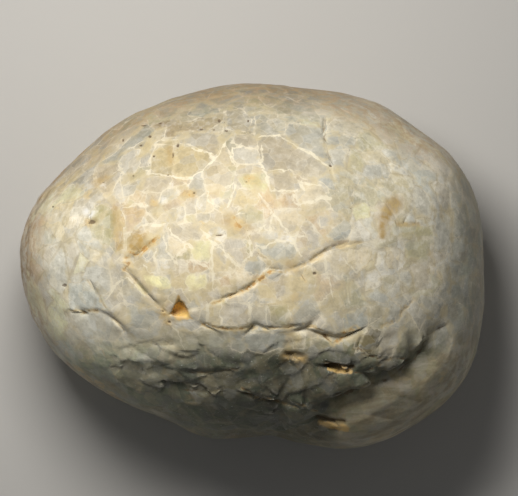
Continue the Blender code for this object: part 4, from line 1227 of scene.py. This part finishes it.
TINTS = {
    "flake olive": (0.192, 0.238, 0.125), "flake brown": (0.238, 0.195, 0.088),
    "flake pale": (0.330, 0.362, 0.245), "flake shadow": (0.115, 0.115, 0.075),
    "flake ochre": (0.460, 0.350, 0.165), "inner cream": (0.82, 0.74, 0.56),
    "broad grey": (0.47, 0.45, 0.37), "milky": (0.80, 0.76, 0.66), "dull brown": (0.48, 0.42, 0.29),
    "warm chip": (0.66, 0.55, 0.34), "cool chip": (0.60, 0.60, 0.56), "side grey": (0.56, 0.59, 0.54),
    "pale grain": (0.82, 0.79, 0.70), "dark grain": (0.36, 0.33, 0.26), "lobe brown": (0.29, 0.250, 0.165),
    "lobe pale": (0.60, 0.56, 0.47), "white calcite": (0.90, 0.88, 0.82), "hairline": (0.86, 0.79, 0.62),
    "yellow stain": (0.72, 0.60, 0.34), "healed break": (0.87, 0.79, 0.60), "pale vein": (0.89, 0.82, 0.63),
    "thin break": (0.43, 0.37, 0.26), "dirt": (0.17, 0.145, 0.10), "worn edge and painted highlight": (0.84, 0.80, 0.69),
    "iron film": (0.43, 0.265, 0.115), "golden stain": (0.48, 0.315, 0.100), "rust edge": (0.74, 0.58, 0.30),
    "rust": (0.60, 0.33, 0.09), "ochre": (0.90, 0.62, 0.26), "deep ochre": (0.93, 0.66, 0.23),
    "open crack": (0.185, 0.115, 0.060), "deep shadow": (0.125, 0.078, 0.035), "pit": (0.15, 0.10, 0.06),
    "clear crystal": (0.93, 0.93, 0.90), "painted_glint": (0.72, 0.76, 0.70),
}
CRYSTAL = 2.0 * MM              # size of the crystals inside a shard
CRYSTAL_BEND = 0.0009           # how far their sides wander, in metres
BAND = 0.42 * MM                # from one twin band to the next
break_gap, cloud, grainy, hollow = mark("break_gap"), mark("cloud"), mark("grainy"), mark("hollow")
on_grey_and_shade, on_lobe, flake_tone = mark("grey"), mark("lobe"), mark("flake_tone")
broad = cloudy(7.0)
mid = cloudy(2.6, 5.0, 0.6, 0.3)
mottle = cloudy(1.2, 5.0, 0.65)
speck = cloudy(0.40, 3.0, 0.7)
streak = cloudy(1.5, 4.0, 0.6, 0.2, drawn_out(0.45))

# The shards, each in its own tone, paler where the calcite is cloudy.
colour = mark("shard_colour", "Color")
# The flank's dark tones, laid on by the grey mark: its own olive-grey and brown, and painted shade on the
# low flank and the outer sides.
flank_tone_and_shade = laid_over("flake olive", "flake brown", span(flake_tone, 0.45, 0.85, 0.0, 0.8))
flank_tone_and_shade = laid_over(flank_tone_and_shade, "flake pale", span(flake_tone, 0.35, 0.05, 0.0, 0.8))
flank_tone_and_shade = laid_over(flank_tone_and_shade, "flake shadow", span(mid, 0.47, 0.61, 0.0, 0.78))
flank_tone_and_shade = laid_over(flank_tone_and_shade, "flake ochre", span(cloudy(3.4, 3.0, 0.6, 0.5), 0.56, 0.68, 0.0, 0.60))
colour = laid_over(colour, flank_tone_and_shade, times(on_grey_and_shade, 0.92))
inner = times(span(break_gap, 0.05, 0.9, 1.0, 0.0), 0.22)
colour = laid_over(colour, "inner cream", times(inner, span(on_grey_and_shade, 0.0, 1.0, 1.0, 0.10)))
colour = laid_over(colour, "broad grey", span(broad, 0.50, 0.66, 0.0, 0.22))
milky = times(span(mid, 0.50, 0.68, 0.0, 0.40), span(on_grey_and_shade, 0.0, 1.0, 1.0, 0.30))
colour = laid_over(colour, "milky", milky)
colour = laid_over(colour, "dull brown", span(mid, 0.50, 0.30, 0.0, 0.38))
# Chips: each shard is itself a mosaic of small crystals, some warm, some cool.
bend = tree.nodes.new("ShaderNodeTexNoise")
wire(bend.inputs["Scale"], 1.0 / (1.6 * MM))
wire(bend.inputs["Detail"], 2.0)
wire(bend.inputs["Vector"], position)
bent_place = tree.nodes.new("ShaderNodeVectorMath")
bent_place.operation = "MULTIPLY_ADD"
wire(bent_place.inputs[0], bend.outputs["Color"])
wire(bent_place.inputs[1], (CRYSTAL_BEND, CRYSTAL_BEND, CRYSTAL_BEND))
wire(bent_place.inputs[2], position)
chip = tree.nodes.new("ShaderNodeSeparateColor")
wire(chip.inputs["Color"], crystals("F1").outputs["Color"])
colour = laid_over(colour, "warm chip", span(chip.outputs[0], 0.62, 0.95, 0.0, 0.32))
colour = laid_over(colour, "cool chip", span(chip.outputs[0], 0.40, 0.05, 0.0, 0.30))
uneven = sums("ADD", 0.19, times(grainy, 0.15))
colour = dimmed(colour, sums("ADD", 1.0, swing(chip.outputs[1], uneven)))
# The sides and the foot of the lump are cooler.
colour = laid_over(colour, "side grey", times(mark("cool"), 0.34))
# Grainy ground, where the shards are too small to tell apart.
colour = laid_over(colour, "pale grain", times(span(mottle, 0.50, 0.66), span(grainy, 0.0, 1.0, 0.12, 0.42)))
colour = laid_over(colour, "dark grain", times(span(mottle, 0.48, 0.32), span(grainy, 0.0, 1.0, 0.16, 0.42)))
# Brown streaks along the smooth lobe.
lobe_streak = cloudy(2.0, 5.0, 0.6, 0.4, drawn_out(0.22, math.radians(-33.0)))
colour = laid_over(colour, "lobe brown", times(on_lobe, span(lobe_streak, 0.46, 0.64, 0.0, 0.65)))
colour = laid_over(colour, "lobe pale", times(on_lobe, span(lobe_streak, 0.50, 0.36, 0.0, 0.50)))
# Twin bands: fine parallel stripes in some of the shards.
along = tree.nodes.new("ShaderNodeVectorMath")
along.operation = "DOT_PRODUCT"
wire(along.inputs[0], position)
wire(along.inputs[1], mark("stripe", "Vector"))
band = sums("SINE", sums("ADD", times(along.outputs["Value"], 2 * math.pi / BAND), times(mottle, 5.0)))
band = times(times(band, mark("stripe")), span(mid, 0.35, 0.6))
tone = sums("ADD", 1.0, times(band, 0.075))
tone = sums("ADD", tone, times(mark("lean"), 0.085))
tone = sums("ADD", tone, swing(speck, 0.34))
tone = sums("ADD", tone, swing(mottle, 0.36))
# The shade mark lays the painted light and shade onto the colour, together with the twin bands and random
# tones.
colour = dimmed(colour, times(tone, mark("shade")))
# White calcite in clouds.
white = span(sums("ADD", cloud, swing(mottle, 2.2)), 0.45, 1.20, 0.0, 0.75)
colour = laid_over(colour, "white calcite", times(white, span(cloud, 0.05, 0.25)))
# Hairlines: finer healed breaks between the chips.
hairline = span(crystals("DISTANCE_TO_EDGE").outputs["Distance"], 0.0, 0.055, 1.0, 0.0)
hairline = times(hairline, span(mid, 0.42, 0.58, 0.15, 1.0))
hairline = times(hairline, span(sums("MAXIMUM", on_lobe, on_grey_and_shade), 0.0, 0.6, 1.0, 0.15))
colour = laid_over(colour, "hairline", times(hairline, span(grainy, 0.0, 1.0, 0.24, 0.42)))
# Yellow stain beside the breaks, and pale calcite healing them.
stain = times(span(break_gap, 0.1, 0.8, 1.0, 0.0), span(mid, 0.52, 0.40, 0.0, 0.45))
colour = laid_over(colour, "yellow stain", times(stain, span(on_grey_and_shade, 0.1, 0.8, 1.0, 0.20)))
vein_side = span(mottle, 0.35, 0.65, 0.04, 0.13)
vein = span(sums("DIVIDE", break_gap, vein_side), 0.45, 1.05, 1.0, 0.0)
strong = sums("ADD", span(mid, 0.40, 0.60, 0.08, 0.62), times(cloud, 0.3))
strong = times(strong, span(on_grey_and_shade, 0.2, 0.8, 1.0, 0.12))
strong = times(strong, span(grainy, 0.3, 1.0, 1.0, 0.75))
strong = times(strong, span(on_lobe, 0.0, 0.5, 1.0, 0.0))
colour = laid_over(colour, "healed break", times(vein, sums("MINIMUM", strong, 0.90)))
pale_side = span(mid, 0.36, 0.62, 0.05, 0.13)
pale = span(sums("DIVIDE", mark("pale_gap"), pale_side), 0.50, 1.10, 1.0, 0.0)
pale = times(pale, times(span(mottle, 0.32, 0.56, 0.25, 0.75), span(on_grey_and_shade, 0.3, 1.0, 1.0, 0.40)))
colour = laid_over(colour, "pale vein", pale)
thin = times(span(break_gap, 0.03, 0.11, 1.0, 0.0), span(mid, 0.60, 0.45, 0.0, 0.34))
colour = laid_over(colour, "thin break", times(thin, span(grainy, 0.15, 0.55, 0.15, 1.0)))
# Painted shade in the hollows; the edges paler, partly by wear and partly as a painted highlight.
colour = laid_over(colour, "dirt", times(span(hollow, 0.030, 0.16), 0.62))
colour = laid_over(colour, "worn edge and painted highlight", times(span(hollow, -0.045, -0.15), 0.40))
# Film of iron and soil on the rim, partly painted rim shade; rust in the breaks, dark in the deep ones.
colour = laid_over(colour, "iron film", times(mark("film_and_rim_shade"), span(mottle, 0.38, 0.62, 0.20, 0.80)))
stains = times(mark("stains"), span(mottle, 0.34, 0.60, 0.60, 1.10))
colour = laid_over(colour, "golden stain", times(stains, 0.88))
rust = times(sums("MAXIMUM", mark("rust"), mark("line_rust")), span(mottle, 0.34, 0.62, 0.10, 1.35))
colour = laid_over(colour, "rust edge", span(rust, 0.08, 0.55, 0.0, 0.60))
colour = laid_over(colour, "rust", span(rust, 0.60, 1.15, 0.0, 0.80))
ochre = times(mark("ochre"), span(mottle, 0.30, 0.60, 0.55, 1.25))
colour = laid_over(colour, "ochre", span(ochre, 0.12, 0.65, 0.0, 0.90))
colour = laid_over(colour, "deep ochre", span(ochre, 0.70, 1.10, 0.0, 0.85))
gape_side = span(mottle, 0.35, 0.65, 0.04, 0.15)
gape = span(sums("DIVIDE", mark("crack_gap"), gape_side), 0.50, 1.10, 1.0, 0.0)
gape = times(times(gape, mark("crack")), span(mottle, 0.40, 0.60, 0.60, 1.05))
colour = laid_over(colour, "open crack", gape)
colour = laid_over(colour, "deep shadow", times(mark("dark"), 0.90))
pit = span(sums("ADD", mark("pit"), swing(speck, 1.2)), 0.35, 0.75, 0.0, 0.75)
colour = laid_over(colour, "pit", times(pit, span(mark("pit"), 0.02, 0.15)))
colour = laid_over(colour, "clear crystal", times(mark("sparry"), 0.85))
# Painted glints: small pale highlights on the flank, standing in for light caught by tiny clean faces of
# calcite.
painted_glint = span(cloudy(0.34, 2.0, 0.6), 0.66, 0.74, 0.0, 0.55)
painted_glint = times(painted_glint, times(on_grey_and_shade, span(on_lobe, 0.0, 0.5, 1.0, 0.2)))
colour = laid_over(colour, "painted_glint", painted_glint)
wire(shader.inputs["Base Color"], colour)
wire(shader.inputs["Roughness"], span(mottle, 0.3, 0.7, 0.42, 0.62))
relief = sums("ADD", times(mottle, 0.55), times(speck, 0.35))
relief = sums("ADD", relief, times(streak, 0.25))
relief = sums("SUBTRACT", relief, times(hairline, 0.10))
relief = times(relief, sums("ADD", 1.0, times(on_grey_and_shade, 0.9)))
bump = tree.nodes.new("ShaderNodeBump")
wire(bump.inputs["Strength"], 0.50)
wire(bump.inputs["Distance"], 0.14 * MM)
wire(bump.inputs["Height"], relief)
wire(shader.inputs["Normal"], bump.outputs["Normal"])
fine.materials.clear()
fine.materials.append(stone)
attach(skin, "root")
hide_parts("fossil_urchin")


# ---------------------------------------------------------------------------
# Floor and light: a plain pale board, a small soft lamp high above the far
# left side, and a weak even fill.
# ---------------------------------------------------------------------------
LAMP_PLACE = (-0.0385, 0.0945, 0.179)
LAMP_AIM = (0, 0, 0.03)
LAMP_WIDE, LAMP_DEEP = 0.10, 0.080
LAMP_WATTS = 0.345
FILL_STRENGTH = 0.09
FLOOR_WIDE = 4.0
bpy.ops.object.select_all(action="DESELECT")
bpy.ops.mesh.primitive_plane_add(size=FLOOR_WIDE, location=(0, 0, 0))
floor = bpy.context.object
floor.name = "pale_floor"
floor_paint = bpy.data.materials.new("pale_floor")
floor_paint.use_nodes = True
board = floor_paint.node_tree.nodes["Principled BSDF"]
board.inputs["Base Color"].default_value = (0.60, 0.59, 0.57, 1)
board.inputs["Roughness"].default_value = 0.9
floor.data.materials.append(floor_paint)
floor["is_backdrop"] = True

key_data = bpy.data.lights.new("key_lamp", "AREA")
key_data.shape = "RECTANGLE"
key_data.size = LAMP_WIDE
key_data.size_y = LAMP_DEEP
key_data.energy = LAMP_WATTS
key_data.color = (1.0, 0.97, 0.92)
key = bpy.data.objects.new("key_lamp", key_data)
key.location = LAMP_PLACE
key.rotation_euler = (Vector(LAMP_AIM) - key.location).to_track_quat("-Z", "Y").to_euler()
bpy.context.scene.collection.objects.link(key)
room = bpy.data.worlds.new("room")
room.use_nodes = True
sky = room.node_tree.nodes["Background"]
sky.inputs["Color"].default_value = (1.0, 1.0, 1.0, 1)
sky.inputs["Strength"].default_value = FILL_STRENGTH
bpy.context.scene.world = room
bpy.context.scene.view_settings.view_transform = "Standard"

low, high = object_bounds()
